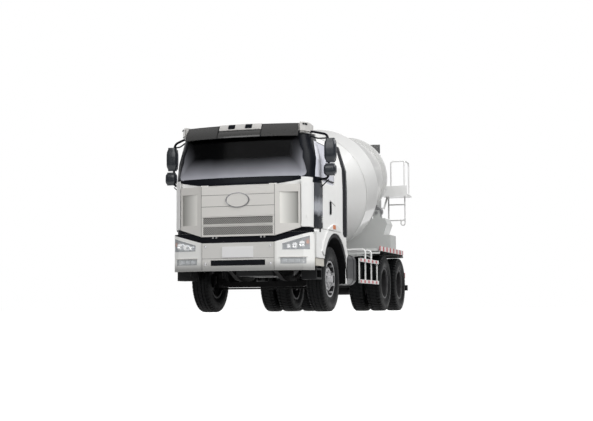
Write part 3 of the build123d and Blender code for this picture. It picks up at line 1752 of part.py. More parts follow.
# Front lid with its grille
with BuildPart() as front_lid:
    lid_ends = behind(lid_corner_sweep)
    plan_plate(
        [
            (-lid_half, lid_ends),
            (-lid_flat_half, face_y),
            (lid_flat_half, face_y),
            (lid_half, lid_ends),
            (lid_half, lid_ends + lid_thickness),
            (lid_flat_half, face_y + lid_thickness),
            (-lid_flat_half, face_y + lid_thickness),
            (-lid_half, lid_ends + lid_thickness),
        ],
        (lid_bottom_z, lid_top_z),
    )
    for side in (1, -1):
        front_plate(
            [
                (side * lid_flat_half, lid_bottom_z - 1),
                (side * (lid_half + 1), lid_corner_bottom_z),
                (side * (lid_half + 1), lid_bottom_z - 1),
            ],
            (face_y - 10, lid_ends + lid_thickness + 10),
            mode=Mode.SUBTRACT,
        )
        front_plate(
            [
                (side * lid_recess_x[0], lid_recess_z[0]),
                (side * lid_recess_x[1], lid_recess_z[0]),
                (side * lid_recess_x[1], lid_recess_z[1]),
                (side * lid_recess_x[0], lid_recess_z[1]),
            ],
            (face_y - 10, lid_ends + lid_thickness + 10),
            mode=Mode.SUBTRACT,
        )
        plan_plate(
            [
                (side * (lid_recess_x[0] - 12), behind(lid_scoop_setback[0] - lid_scoop_floor - 12)),
                (side * (lid_recess_x[1] + 6), behind(lid_scoop_setback[1] - lid_scoop_floor)),
                (side * (lid_recess_x[1] + 6), behind(lid_scoop_setback[1])),
                (side * (lid_recess_x[0] - 12), behind(lid_scoop_setback[0])),
            ],
            (lid_recess_z[0] - 8, lid_recess_z[1] + 8),
        )
        for z in (lid_recess_z[0] - 8, lid_recess_z[1]):
            plan_plate(
                [
                    (side * (lid_recess_x[0] - 12), behind(lid_scoop_setback[0] - lid_scoop_floor - 4)),
                    (side * (lid_recess_x[1] + 6), behind(lid_corner_sweep - 6)),
                    (side * (lid_recess_x[1] + 6), behind(lid_scoop_setback[1])),
                    (side * (lid_recess_x[0] - 12), behind(lid_scoop_setback[0])),
                ],
                (z, z + 8),
            )
    for low, high in grille_rows:
        box_between(
            (-grille_half, grille_half),
            (face_y - 10, face_y + grille_depth),
            (low, high),
            mode=Mode.SUBTRACT,
        )
        pitch = (high - low) / (grille_slats + 1)
        for number in range(1, grille_slats + 1):
            z = low + number * pitch
            box_between(
                (-grille_half - 1, grille_half + 1),
                (face_y + 5, face_y + grille_depth + 2),
                (z - grille_slat / 2, z + grille_slat / 2),
            )
    with BuildSketch(Plane.XZ.offset(-face_y + badge_proud)) as badge:
        with Locations((0, badge_z)):
            Ellipse(badge_half_width, badge_half_height)
    extrude(badge.sketch, amount=-badge_proud - 5)
    for x in lid_knuckle_xs:
        knuckle_x = (x, x + lid_knuckle_length)
        box_between(knuckle_x, (face_y + 10, lid_hinge_y + 4), (lid_top_z - 30, lid_top_z))
        box_between(knuckle_x, (lid_hinge_y - 8, lid_hinge_y + 4), (lid_top_z - 10, lid_hinge_z))
        round_bar(
            (knuckle_x[0], lid_hinge_y, lid_hinge_z),
            (knuckle_x[1], lid_hinge_y, lid_hinge_z),
            lid_knuckle_radius,
        )
        round_bar(
            (knuckle_x[0] - 5, lid_hinge_y, lid_hinge_z),
            (knuckle_x[1] + 5, lid_hinge_y, lid_hinge_z),
            lid_pin_radius + running_gap,
            mode=Mode.SUBTRACT,
        )
save(front_lid, "front_lid")

# Bumper with its lamps
bumper_flat_half = 610.0
bumper_knee = (1060.0, 102.0)
bumper_corner = (1160.0, 175.0)
bumper_side_start = 255.0


def bumper_front(shift):
    """Bumper's outer line in plan, moved back by a shift."""
    return [
        (-bumper_half, behind(bumper_side_start + shift)),
        (-bumper_corner[0], behind(bumper_corner[1] + shift)),
        (-bumper_knee[0], behind(bumper_knee[1] + shift)),
        (-bumper_flat_half, behind(shift)),
        (bumper_flat_half, behind(shift)),
        (bumper_knee[0], behind(bumper_knee[1] + shift)),
        (bumper_corner[0], behind(bumper_corner[1] + shift)),
        (bumper_half, behind(bumper_side_start + shift)),
    ]


def bumper_block(outline, low_shift, high_shift):
    """Part of the bumper's skin between two depths, inside a front-view outline."""
    with BuildPart() as block:
        plan_plate(
            bumper_front(low_shift) + list(reversed(bumper_front(high_shift))),
            (bumper_bottom_z - 50, bumper_corner_top_z + 50),
        )
        front_plate(outline, (face_y - 60, behind(bumper_side_setback)), mode=Mode.INTERSECT)
    return block.part


def lamp_outline(side, shrink):
    return [
        (side * (lamp_x[0] + shrink), lamp_z[0] + shrink),
        (side * (lamp_x[1] - shrink), lamp_z[0] + shrink),
        (side * (lamp_x[1] - shrink), lamp_z[1] - shrink),
        (side * (lamp_x[0] + shrink), lamp_inner_top_z - shrink),
    ]


def fog_outline(side, shrink):
    return [
        (side * (fog_x[0] + shrink), fog_z[0] + shrink),
        (side * (fog_x[1] - shrink), fog_z[0] + shrink),
        (side * (fog_x[1] - shrink), fog_z[1] - shrink),
        (side * (fog_x[0] + shrink), fog_z[1] - shrink),
    ]


lamp_pockets = []
lamp_bodies = []
for side in (1, -1):
    for outline in (lamp_outline, fog_outline):
        lamp_pockets.append(bumper_block(outline(side, 0.0), -20.0, lamp_pocket_depth))
        lamp_bodies.append(
            bumper_block(outline(side, seat_gap), -lamp_proud, lamp_pocket_depth - seat_gap)
        )

with BuildPart() as bumper:
    plan_plate(
        bumper_front(0.0)
        + [(bumper_half, behind(bumper_side_setback))]
        + [(bumper_half - bumper_thickness / 2, behind(bumper_side_setback))]
        + list(reversed(bumper_front(bumper_thickness)))[1:-1]
        + [(-bumper_half + bumper_thickness / 2, behind(bumper_side_setback))]
        + [(-bumper_half, behind(bumper_side_setback))],
        (bumper_bottom_z, bumper_corner_top_z),
    )
    front_plate(
        [
            (-bumper_half - 1, bumper_corner_top_z),
            (-bumper_flat_half, bumper_top_z),
            (bumper_flat_half, bumper_top_z),
            (bumper_half + 1, bumper_corner_top_z),
            (bumper_half + 1, bumper_corner_top_z + 10),
            (-bumper_half - 1, bumper_corner_top_z + 10),
        ],
        (face_y - 60, behind(bumper_side_setback + 10)),
        mode=Mode.SUBTRACT,
    )
    for pocket in lamp_pockets:
        add(pocket, mode=Mode.SUBTRACT)
    box_between(
        (-bumper_slot_half, bumper_slot_half),
        (face_y - 20, face_y + bumper_slot_depth),
        bumper_slot_z,
        mode=Mode.SUBTRACT,
    )
    for side in (1, -1):
        box_between(
            (side * (rail_outer_x - rail_flange), side * (cab_hinge_x - body_gap)),
            (face_y + bumper_thickness - 2, rail_front_y - seat_gap),
            (rail_bottom_z + 30, rail_bottom_z + 150),
        )
save(bumper, "bumper")

with BuildPart() as front_lamps:
    for body in lamp_bodies:
        add(body)
save(front_lamps, "front_lamps")

# Front wheel arches, part of the tilting cab
with BuildPart() as wheel_arches:
    for side in (1, -1):
        outer = cab_half_width - 2
        side_plate(
            [
                (behind(arch_front_setback), arch_skirt_bottom_z),
                (behind(arch_front_setback), cab_floor_z - seat_gap),
                (behind(arch_rear_setback), cab_floor_z - seat_gap),
                (behind(arch_rear_setback), arch_flap_bottom_z),
                (front_axle_y, arch_skirt_bottom_z),
            ],
            (side * (outer - arch_panel_thickness), side * outer),
        )
        round_bar(
            (side * (outer - arch_panel_thickness - 5), front_axle_y, axle_z),
            (side * (outer + 5), front_axle_y, axle_z),
            arch_radius,
            mode=Mode.SUBTRACT,
        )
        with BuildSketch(Plane.YZ.offset(side * arch_inner_x)) as liner:
            with Locations((front_axle_y, axle_z)):
                Circle(arch_radius + 14)
                Circle(arch_radius, mode=Mode.SUBTRACT)
            with Locations((front_axle_y, axle_z - arch_radius)):
                Rectangle(3 * arch_radius, 2 * arch_radius - 60, mode=Mode.SUBTRACT)
            with Locations((front_axle_y - arch_radius, axle_z)):
                Rectangle(arch_radius, 2 * (arch_skirt_bottom_z - axle_z), mode=Mode.SUBTRACT)
        extrude(liner.sketch, amount=side * (outer - arch_inner_x))
save(wheel_arches, "wheel_arches")

with BuildPart() as entry_steps:
    for side in (1, -1):
        outer = side * (cab_half_width - 26)
        inner = side * (cab_half_width - 26 - step_depth)
        y_span = (behind(step_setback[0]), behind(step_setback[1]))
        for z in (step_z[0], (step_z[0] + step_z[1]) / 2, step_z[1] - 30):
            box_between((inner, outer), y_span, (z, z + 30))
        for y in (y_span[0], y_span[1] - 20):
            box_between((inner, outer), (y, y + 20), (step_z[0] + 10, step_z[1] - 10))
        box_between((inner, inner + side * 20), y_span, (step_z[0] + 10, step_z[1] - 10))
        box_between(
            (side * (rail_outer_x + seat_gap), inner + side * 10),
            (y_span[0] + 60, y_span[0] + 130),
            (rail_bottom_z + 10, step_z[1] - 5),
        )
save(entry_steps, "entry_steps")

# Corner blades and dark corner panels
with BuildPart() as corner_deflectors:
    for side in (1, -1):
        with BuildSketch(Plane.XY.offset(1345.0)) as blade:
            with BuildLine():
                ThreePointArc(
                    (side * 1034, behind(96)), (side * 1118, behind(165)), (side * 1168, behind(302))
                )
                Polyline((side * 1168, behind(302)), (side * 1140, behind(302)))
                ThreePointArc(
                    (side * 1140, behind(302)), (side * 1098, behind(186)), (side * 1034, behind(126))
                )
                Polyline((side * 1034, behind(126)), (side * 1034, behind(96)))
            make_face()
        extrude(blade.sketch, amount=790.0)
        for z in (1480.0, 2000.0):
            box_between(
                (side * 1068, side * 1108), (behind(140), behind(262)), (z, z + 40)
            )
    add(cab_clear, mode=Mode.SUBTRACT)
save(corner_deflectors, "corner_deflectors")

with BuildPart() as side_trims:
    for side in (1, -1):
        side_plate(
            [
                (behind(cab_length - rear_trim_width), cab_floor_z + 30),
                (behind(cab_length), cab_floor_z + 30),
                (behind(cab_length), cab_shoulder_z),
                (behind(cab_length - 40), cab_eaves_z),
                (behind(cab_length - rear_trim_width - 40), cab_eaves_z),
                (behind(cab_length - rear_trim_width), cab_shoulder_z),
            ],
            (side * 900, side * (cab_half_width + rear_trim_proud)),
        )
        box_between(
            (side * 900, side * (cab_half_width + rear_trim_proud)),
            (behind(corner_panel_setback[0]), behind(corner_panel_setback[1])),
            corner_panel_z,
        )
    add(cab_volume(-rear_trim_proud), mode=Mode.INTERSECT)
    add(cab_clear, mode=Mode.SUBTRACT)
save(side_trims, "side_trims")

# Sun visor
with BuildPart() as sun_visor:
    visor_levels = ((visor_bottom_z, 150.0 - visor_stand_off), (visor_top_z, 268.0 - visor_stand_off))
    visor_sections = []
    for z, nose in visor_levels:
        with BuildSketch(Plane.XY.offset(z)) as band:
            with BuildLine():
                ThreePointArc(
                    (-visor_half, behind(nose + 132)), (0, behind(nose)), (visor_half, behind(nose + 132))
                )
                Polyline(
                    (visor_half, behind(nose + 132)), (visor_half, behind(nose + 132 + visor_thickness))
                )
                ThreePointArc(
                    (visor_half, behind(nose + 132 + visor_thickness)),
                    (0, behind(nose + visor_thickness)),
                    (-visor_half, behind(nose + 132 + visor_thickness)),
                )
                Polyline(
                    (-visor_half, behind(nose + 132 + visor_thickness)), (-visor_half, behind(nose + 132))
                )
            make_face()
        visor_sections.append(band.sketch)
    loft(visor_sections, ruled=True)
    for x, start in ((-760.0, 190.0), (-30.0, 115.0), (700.0, 190.0)):
        box_between((x, x + 60), (behind(start), behind(480)), (2905.0, 2935.0))
    add(cab_clear, mode=Mode.SUBTRACT)
save(sun_visor, "sun_visor")

# Mirrors
with BuildPart() as mirrors:
    for side in (1, -1):
        middle_x = side * sum(mirror_x) / 2
        y = behind(mirror_setback[0]) + 18
        bent_tube(
            [
                (side * 1000, behind(470), 2790.0),
                (side * 1180, y, 2840.0),
                (middle_x, y, 2810.0),
                (middle_x, y, mirror_wide_z[0] - 26),
                (side * 1150, behind(470), mirror_wide_z[0] - 40),
            ],
            mirror_arm_radius,
            40.0,
        )
        for low, high in (mirror_main_z, mirror_wide_z):
            box_between(
                (side * mirror_x[0], side * mirror_x[1]),
                (behind(mirror_setback[0]), behind(mirror_setback[1])),
                (low, high),
            )
    add(cab_clear, mode=Mode.SUBTRACT)
save(mirrors, "mirrors")

# Cab fittings
floor_z = cab_floor_z + cab_wall + seat_gap
with BuildPart() as seats:
    for side in (1, -1):
        x_span = (side * seat_x - seat_width / 2, side * seat_x + seat_width / 2)
        y = behind(seat_setback)
        box_between(x_span, (y - seat_cushion_depth, y + 60), seat_cushion_z)
        box_between(
            (side * seat_x - 150, side * seat_x + 150),
            (y - 380, y - 60),
            (floor_z, seat_cushion_z[0] + 5),
        )
        side_plate(
            [
                (y - 30, seat_cushion_z[0] + 60),
                (y - 30 + seat_back_thickness, seat_cushion_z[0] + 60),
                (y + 60 + seat_back_thickness, seat_cushion_z[1] + seat_back_height),
                (y + 90, seat_cushion_z[1] + seat_back_height),
            ],
            x_span,
        )
save(seats, "seats")

wheel_hub = Vector(seat_x, behind(steering_wheel_setback), steering_wheel_z)
tilt = radians(steering_wheel_tilt)
column_way = Vector(0, sin(tilt), cos(tilt))
with BuildPart() as dashboard:
    side_plate(
        [
            (behind(dash_setback[0] - 260), dash_z[0]),
            (behind(dash_setback[1] - 120), dash_z[0]),
            (behind(dash_setback[1]), dash_z[0] + 140),
            (behind(dash_setback[1] - 40), dash_z[1] - 40),
            (behind(dash_setback[0] - 260), dash_z[1]),
        ],
        (-1000.0, 1000.0),
    )
    add(cab_cabin, mode=Mode.INTERSECT)
    round_bar(
        wheel_hub - column_way * 330,
        wheel_hub - column_way * 4,
        steering_column_radius,
    )
    wheel_plane = Plane(origin=wheel_hub, x_dir=(1, 0, 0), z_dir=column_way)
    with BuildSketch(
        Plane(
            origin=wheel_hub + wheel_plane.x_dir * steering_wheel_radius,
            x_dir=wheel_plane.x_dir,
            z_dir=wheel_plane.y_dir,
        )
    ) as wheel_rim:
        Circle(steering_wheel_rim)
    revolve(wheel_rim.sketch, axis=Axis(wheel_hub, column_way))
    with BuildSketch(wheel_plane.offset(-14)) as spokes:
        Circle(62)
        Rectangle(2 * steering_wheel_radius, 44)
        with Locations((0, -steering_wheel_radius / 2)):
            Rectangle(44, steering_wheel_radius)
    extrude(spokes.sketch, amount=20)
save(dashboard, "dashboard")
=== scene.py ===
"""Looks of the concrete mixer truck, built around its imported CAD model. Metres, +Z up, the cab faces -Y."""

import json
from math import cos, exp, hypot, pi, radians, sin, sqrt

import bmesh
import bpy
from mathutils import Matrix, Vector


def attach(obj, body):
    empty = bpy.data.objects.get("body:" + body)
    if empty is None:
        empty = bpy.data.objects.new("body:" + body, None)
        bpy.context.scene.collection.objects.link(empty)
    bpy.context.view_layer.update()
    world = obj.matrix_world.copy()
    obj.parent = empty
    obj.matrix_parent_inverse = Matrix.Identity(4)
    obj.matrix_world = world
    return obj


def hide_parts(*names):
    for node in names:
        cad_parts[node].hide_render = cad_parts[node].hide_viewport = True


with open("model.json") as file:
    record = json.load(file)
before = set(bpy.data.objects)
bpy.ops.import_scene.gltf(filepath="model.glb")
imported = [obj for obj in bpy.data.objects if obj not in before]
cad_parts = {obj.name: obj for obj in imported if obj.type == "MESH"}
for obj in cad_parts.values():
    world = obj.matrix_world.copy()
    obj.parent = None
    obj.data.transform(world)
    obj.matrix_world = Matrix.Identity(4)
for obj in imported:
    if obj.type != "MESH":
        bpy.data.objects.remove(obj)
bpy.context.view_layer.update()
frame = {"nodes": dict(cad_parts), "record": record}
nodes = frame["nodes"]
BODY_OF = {n: body for body, members in frame["record"]["behaviour"]["bodies"].items() for n in members}

FACE = -4.575                  # the cab's foremost line; setbacks count from it
FRONT_AXLE = 1.390             # setbacks of the axles
DRIVE_AXLES = (5.100, 6.450)
AXLE_Z = 0.545
HANDS = ((1, "left"), (-1, "right"))


def at(setback):
    """Row coordinate of a place so far behind the cab face."""
    return FACE + setback


def steps(low, high, count):
    return [low + (high - low) * i / count for i in range(count + 1)]


def value_at(rule, place):
    """A rule is a number, or a function of the place."""
    return rule(place) if callable(rule) else rule


# Materials


def link(tree, source, target):
    tree.links.new(source, target)


def node_with(tree, kind, values):
    made = tree.nodes.new(kind)
    for name, value in values.items():
        made.inputs[name].default_value = value
    return made


def noise(tree, coords, scale, detail=4.0, rough=0.55):
    node = node_with(tree, "ShaderNodeTexNoise", {"Scale": scale, "Detail": detail, "Roughness": rough})
    link(tree, coords, node.inputs["Vector"])
    return node.outputs["Fac"]


def span(tree, value, low, high, out_low, out_high):
    """Value mapped from one range to another, and held at its ends."""
    ends = {"From Min": low, "From Max": high, "To Min": out_low, "To Max": out_high}
    node = node_with(tree, "ShaderNodeMapRange", ends)
    link(tree, value, node.inputs["Value"])
    return node.outputs["Result"]


def blend(tree, share, first, second):
    """Colour mix; first and second are colours or sockets, share is a socket."""
    node = tree.nodes.new("ShaderNodeMix")
    node.data_type = "RGBA"
    link(tree, share, node.inputs["Factor"])
    for value, socket in ((first, node.inputs[6]), (second, node.inputs[7])):
        if isinstance(value, tuple):
            socket.default_value = (*value, 1.0)
        else:
            link(tree, value, socket)
    return node.outputs[2]


def math_node(tree, operation, first, second=0.0):
    node = tree.nodes.new("ShaderNodeMath")
    node.operation = operation
    for value, socket in ((first, node.inputs[0]), (second, node.inputs[1])):
        if isinstance(value, float):
            socket.default_value = value
        else:
            link(tree, value, socket)
    return node.outputs[0]


def times(tree, first, second):
    return math_node(tree, "MULTIPLY", first, second)


def parts_of(tree, vector):
    """X, Y and Z of a place or direction."""
    node = tree.nodes.new("ShaderNodeSeparateXYZ")
    link(tree, vector, node.inputs[0])
    return node.outputs[0], node.outputs[1], node.outputs[2]


def reach_of(tree, x):
    """Distance from the vehicle's middle plane."""
    return math_node(tree, "ABSOLUTE", x)


def scoop_painted_shade(tree, coords, base):
    """Floor of a side scoop, with painted shade that darkens it outwards into the recess."""
    x, _, _ = parts_of(tree, coords)
    outwards = span(tree, reach_of(tree, x), 0.72, 0.99, 0.0, 1.0)
    return blend(tree, outwards, (0.86, 0.85, 0.81), (0.25, 0.25, 0.235))


def roof_shade(tree, coords, base):
    """The cab's white, with painted shade that makes it greyer where it faces up and gets the light of the
    whole sky.
    """
    _, _, up = parts_of(tree, coords.node.outputs["Normal"])
    return blend(tree, span(tree, up, 0.45, 0.85, 0.0, 1.0), base, (0.60, 0.60, 0.59))


def front_wheel_paint(tree, coords, base):
    """Silver rim and disc, with painted shade over the ring of hand holes and on the inner side towards the
    vehicle's middle.
    """
    x, y, z = parts_of(tree, coords)
    ahead = math_node(tree, "SUBTRACT", y, at(FRONT_AXLE))
    above = math_node(tree, "SUBTRACT", z, AXLE_Z)
    squares = math_node(tree, "ADD", times(tree, ahead, ahead), times(tree, above, above))
    radius = math_node(tree, "SQRT", squares)
    angle = times(tree, math_node(tree, "ARCTAN2", above, ahead), HAND_HOLES)
    wave = span(tree, math_node(tree, "COSINE", angle), -0.75, -0.30, 0.0, 1.0)
    inner = span(tree, radius, 0.180, 0.195, 0.0, 1.0)
    outer = span(tree, radius, 0.276, 0.288, 1.0, 0.0)
    hole_shade = times(tree, times(tree, inner, outer), wave)
    disc = blend(tree, hole_shade, (0.46, 0.46, 0.47), (0.012, 0.012, 0.013))
    # Painted shade inside the wheel, towards the vehicle's middle.
    return blend(tree, span(tree, reach_of(tree, x), 1.045, 1.085, 0.0, 1.0), (0.006, 0.006, 0.007), disc)


def screen_paint(tree, coords, base):
    """Dark glass with painted shade under the visor, made paler towards its foot and its two ends by painted
    reflections.
    """
    x, _, z = parts_of(tree, coords)
    foot = span(tree, z, 2.17, 2.50, 1.0, 0.0)
    outwards = span(tree, reach_of(tree, x), 0.80, 1.02, 0.0, 0.75)
    ends = times(tree, outwards, span(tree, z, 2.30, 2.80, 1.0, 0.15))
    reflection_unevenness = span(tree, noise(tree, coords, 1.6, 2.0), 0.42, 0.62, -0.04, 0.04)
    share = math_node(tree, "ADD", math_node(tree, "MAXIMUM", foot, ends), reflection_unevenness)
    soft = math_node(tree, "POWER", math_node(tree, "MAXIMUM", share, 0.0), 1.5)
    return blend(tree, soft, (0.0012, 0.0013, 0.0016), (0.40, 0.405, 0.45))


def bumper_paint(tree, coords, base):
    """Pearl middle, with a painted highlight on the corners and painted shade where the bumper turns under.
    """
    x, _, z = parts_of(tree, coords)
    corner_highlight = blend(tree, span(tree, reach_of(tree, x), 0.60, 0.66, 0.0, 1.0), base, (0.92, 0.92, 0.90))
    return blend(tree, span(tree, z, 0.69, 0.82, 1.0, 0.0), corner_highlight, (0.33, 0.33, 0.32))


def panel_paint(tree, coords, base):
    """Dark gloss panel, ahead of the doors with a pale reflection across its lower middle."""
    _, y, z = parts_of(tree, coords)
    height = math_node(tree, "ADD", z, times(tree, noise(tree, coords, 9.0, 3.0), 0.16))
    rise = span(tree, height, 1.60, 1.70, 0.0, 1.0)
    fall = span(tree, height, 1.80, 1.92, 1.0, 0.12)
    ahead = span(tree, y, at(0.70), at(0.72), 1.0, 0.0)
    return blend(tree, times(tree, times(tree, rise, fall), ahead), base, (0.36, 0.37, 0.40))


def tape_paint(tree, coords, base):
    """Red and white blocks along the vehicle."""
    _, y, _ = parts_of(tree, coords)
    wave = math_node(tree, "FRACT", times(tree, y, TAPE_BLOCKS))
    return blend(tree, math_node(tree, "GREATER_THAN", wave, 0.38), (0.56, 0.06, 0.08), (0.80, 0.79, 0.78))


def mesh_paint(tree, coords, base):
    """Rows of small dark holes over a plate."""
    turned = tree.nodes.new("ShaderNodeMapping")
    turned.inputs["Rotation"].default_value = (0.0, radians(45), 0.0)
    link(tree, coords, turned.inputs["Vector"])
    flat = tree.nodes.new("ShaderNodeVectorMath")
    flat.operation = "MULTIPLY"
    flat.inputs[1].default_value = (1.0, 0.0, 1.0)
    link(tree, turned.outputs[0], flat.inputs[0])
    cells = node_with(tree, "ShaderNodeTexVoronoi", {"Scale": 44.0, "Randomness": 0.0})
    link(tree, flat.outputs[0], cells.inputs["Vector"])
    share = span(tree, cells.outputs["Distance"], 0.30, 0.38, 1.0, 0.0)
    return blend(tree, share, base, (0.012, 0.012, 0.013))


HAND_HOLES = 10.0              # round a front wheel
TAPE_BLOCKS = 3.3              # red and white pairs in a metre


def scaled(color, factor):
    return tuple(min(1.0, c * factor) for c in color)


def finish(
    name, color, rough=0.5, metal=0.0, coat=0.0, vary=0.05, patch=3.0, grain=0.0, grain_scale=300.0,
    grime=None, grime_top=1.1, wear=None, bands=None, alpha=1.0, specular=0.5,
):
    """Procedural finish: mottled colour, uneven gloss, fine relief, dust low down and worn edges."""
    made = bpy.data.materials.new(name)
    made.use_nodes = True
    tree = made.node_tree
    shader = tree.nodes["Principled BSDF"]
    coords = tree.nodes.new("ShaderNodeTexCoord").outputs["Object"]
    cloud = noise(tree, coords, patch)
    base = blend(tree, cloud, scaled(color, 1.0 - vary), scaled(color, 1.0 + vary))
    if bands:
        base = bands(tree, coords, base)
    if grime:
        low = span(tree, parts_of(tree, coords)[2], 0.15, grime_top, 0.75, 0.0)
        spots = span(tree, noise(tree, coords, 7.0, 8.0, 0.65), 0.35, 0.72, 0.0, 1.0)
        base = blend(tree, times(tree, low, spots), base, grime)
    if wear:
        geometry = tree.nodes.new("ShaderNodeNewGeometry")
        edge = span(tree, geometry.outputs["Pointiness"], 0.53, 0.6, 0.0, 0.8)
        broken = span(tree, noise(tree, coords, 45.0, 6.0), 0.45, 0.6, 0.0, 1.0)
        base = blend(tree, times(tree, edge, broken), base, wear)
    link(tree, base, shader.inputs["Base Color"])
    uneven = noise(tree, coords, patch * 4.0)
    link(tree, span(tree, uneven, 0.3, 0.7, rough * 0.88, min(1.0, rough * 1.14)), shader.inputs["Roughness"])
    values = {"Metallic": metal, "Coat Weight": coat, "Specular IOR Level": specular, "Alpha": alpha}
    for socket, value in (*values.items(), ("Coat Roughness", 0.06)):
        shader.inputs[socket].default_value = value
    if grain:
        bump = node_with(tree, "ShaderNodeBump", {"Strength": grain, "Distance": 0.002})
        link(tree, noise(tree, coords, grain_scale, 3.0), bump.inputs["Height"])
        link(tree, bump.outputs["Normal"], shader.inputs["Normal"])
    return made


DUSTY = {"grime": (0.55, 0.53, 0.5)}
M = {
    "pearl": finish("pearl_paint", (0.70, 0.685, 0.655), 0.34, 0.15, 0.6, 0.03, grain=0.03, grain_scale=700),
    "bumper": finish("bumper_paint", (0.70, 0.69, 0.665), 0.34, coat=0.5, vary=0.03, bands=bumper_paint),
    "scoop": finish("scoop_painted_shade", (0.80, 0.79, 0.76), 0.36, coat=0.4, vary=0.03, bands=scoop_painted_shade),
    "side": finish(
        "side_paint", (0.87, 0.87, 0.86), 0.32, 0.0, 0.2, 0.02, **DUSTY,
        grime_top=0.9, bands=roof_shade, specular=0.3,
    ),
    "lip": finish("bright_white", (0.80, 0.80, 0.79), 0.36, coat=0.3, vary=0.02),
    "roof": finish("roof_grey", (0.50, 0.49, 0.475), 0.38, coat=0.2, vary=0.12, patch=6.0),
    # dark grey of painted shade in panel gaps and creases
    "shadow": finish("painted_gap_shade", (0.09, 0.09, 0.09), 0.6),
    "plate": finish("plate_white", (0.85, 0.85, 0.85), 0.4, vary=0.02),
    "badge": finish("badge_metal", (0.20, 0.20, 0.205), 0.3, metal=0.9),
    "mesh": finish("grille_mesh", (0.27, 0.265, 0.25), 0.45, metal=0.3, vary=0.04, bands=mesh_paint),
    "black": finish("black_plastic", (0.005, 0.0055, 0.008), 0.42, vary=0.2, grain=0.08, specular=0.07),
    "rubber": finish("soft_rubber", (0.008, 0.008, 0.009), 0.75, vary=0.2, grain=0.2, specular=0.2),
    "gloss_black": finish("gloss_black", (0.004, 0.005, 0.008), 0.30, vary=0.2, specular=0.07),
    "panel_gloss": finish(
        "panel_gloss", (0.020, 0.022, 0.027), 0.25, coat=0.2, vary=0.2, bands=panel_paint, specular=0.2,
    ),
    "housing": finish("mirror_housing", (0.012, 0.016, 0.022), 0.25, coat=0.35, vary=0.15, specular=0.3),
    "visor": finish("visor_smoke", (0.021, 0.0205, 0.020), 0.28, coat=0.25, vary=0.1),
    "dark": finish("dark_liner", (0.003, 0.003, 0.0034), 0.7, vary=0.2, specular=0.08),
    "beige": finish("step_trim", (0.50, 0.48, 0.43), 0.5, vary=0.08),
    "glass": finish(
        "screen_glass", (0.10, 0.10, 0.11), 0.14, vary=0.1, bands=screen_paint, alpha=0.97, specular=0.03
    ),
    # pale lavender base colour: painted reflection of the bright surroundings on the side glass
    "door_glass": finish("door_glass", (0.64, 0.65, 0.72), 0.12, alpha=0.93, specular=0.25),
    "lens": finish("lamp_lens", (0.85, 0.88, 0.9), 0.05, vary=0.03, alpha=0.35, specular=0.8),
    "lens_solid": finish("frosted_lens", (0.62, 0.64, 0.66), 0.15, coat=0.6),
    "reflector": finish("lamp_reflector", (0.52, 0.54, 0.57), 0.12, metal=1.0),
    "chrome": finish("chrome", (0.8, 0.8, 0.8), 0.1, metal=1.0, vary=0.03),
    "amber": finish("amber_lens", (0.70, 0.20, 0.05), 0.12, coat=0.6, vary=0.1),
    "red": finish("red_lens", (0.45, 0.015, 0.015), 0.12, coat=0.6, vary=0.1),
    "tape": finish("reflective_tape", (0.8, 0.8, 0.8), 0.3, coat=0.4, vary=0.02, bands=tape_paint),
    "chassis": finish(
        "frame_paint", (0.006, 0.0065, 0.0075), 0.5, vary=0.2, grain=0.15,
        grime=(0.015, 0.0145, 0.014), specular=0.15,
    ),
    "axle": finish(
        "axle_paint", (0.005, 0.005, 0.0055), 0.6, vary=0.25, grain=0.3,
        grime=(0.013, 0.0125, 0.012), specular=0.12,
    ),
    "iron": finish("engine_iron", (0.014, 0.015, 0.016), 0.5, metal=0.2, vary=0.2, grain=0.3, specular=0.3),
    "steel": finish("bare_steel", (0.42, 0.42, 0.43), 0.32, metal=1.0, vary=0.12, grain=0.1),
    "tank": finish(
        "tank_paint", (0.022, 0.023, 0.026), 0.38, vary=0.15, grime=(0.03, 0.029, 0.028), specular=0.35,
    ),
    "wheel": finish("wheel_silver", (0.58, 0.585, 0.59), 0.34, metal=0.4, vary=0.06, bands=front_wheel_paint),
    # dark grey standing for painted shade in the deep dish of the twin wheels, with dust low down
    "rear_wheel": finish(
        "rear_wheel_grey", (0.035, 0.035, 0.037), 0.38, 0.3, vary=0.08,
        grime=(0.02, 0.019, 0.018), grime_top=1.3,
    ),
    "tyre": finish(
        "tyre_rubber", (0.0035, 0.004, 0.0045), 0.5, vary=0.25, grain=0.25, grain_scale=160,
        grime=(0.008, 0.0078, 0.0076), grime_top=0.6, specular=0.10,
    ),
    "drum": finish(
        "drum_paint", (0.66, 0.66, 0.65), 0.36, coat=0.5, vary=0.025, patch=1.2, grain=0.02,
        grain_scale=40, grime=(0.6, 0.59, 0.57), grime_top=1.6,
    ),
    "mixer": finish(
        "mixer_paint", (0.58, 0.59, 0.58), 0.42, coat=0.2, vary=0.04, grime=(0.42, 0.41, 0.39), grime_top=1.7
    ),
    "hopper": finish(
        "hopper_paint", (0.022, 0.022, 0.024), 0.45, vary=0.25, grain=0.12, wear=(0.25, 0.25, 0.24)
    ),
    "white": finish("white_paint", (0.86, 0.86, 0.85), 0.35, coat=0.4, vary=0.03, **DUSTY),
    "fabric": finish("seat_fabric", (0.06, 0.06, 0.07), 0.9, vary=0.2, grain=0.6, grain_scale=900),
    "dash": finish("dash_plastic", (0.05, 0.05, 0.055), 0.6, vary=0.1, grain=0.3, grain_scale=500),
    "seat_shell": finish("seat_plastic", (0.012, 0.012, 0.013), 0.55, vary=0.1, grain=0.2),
}
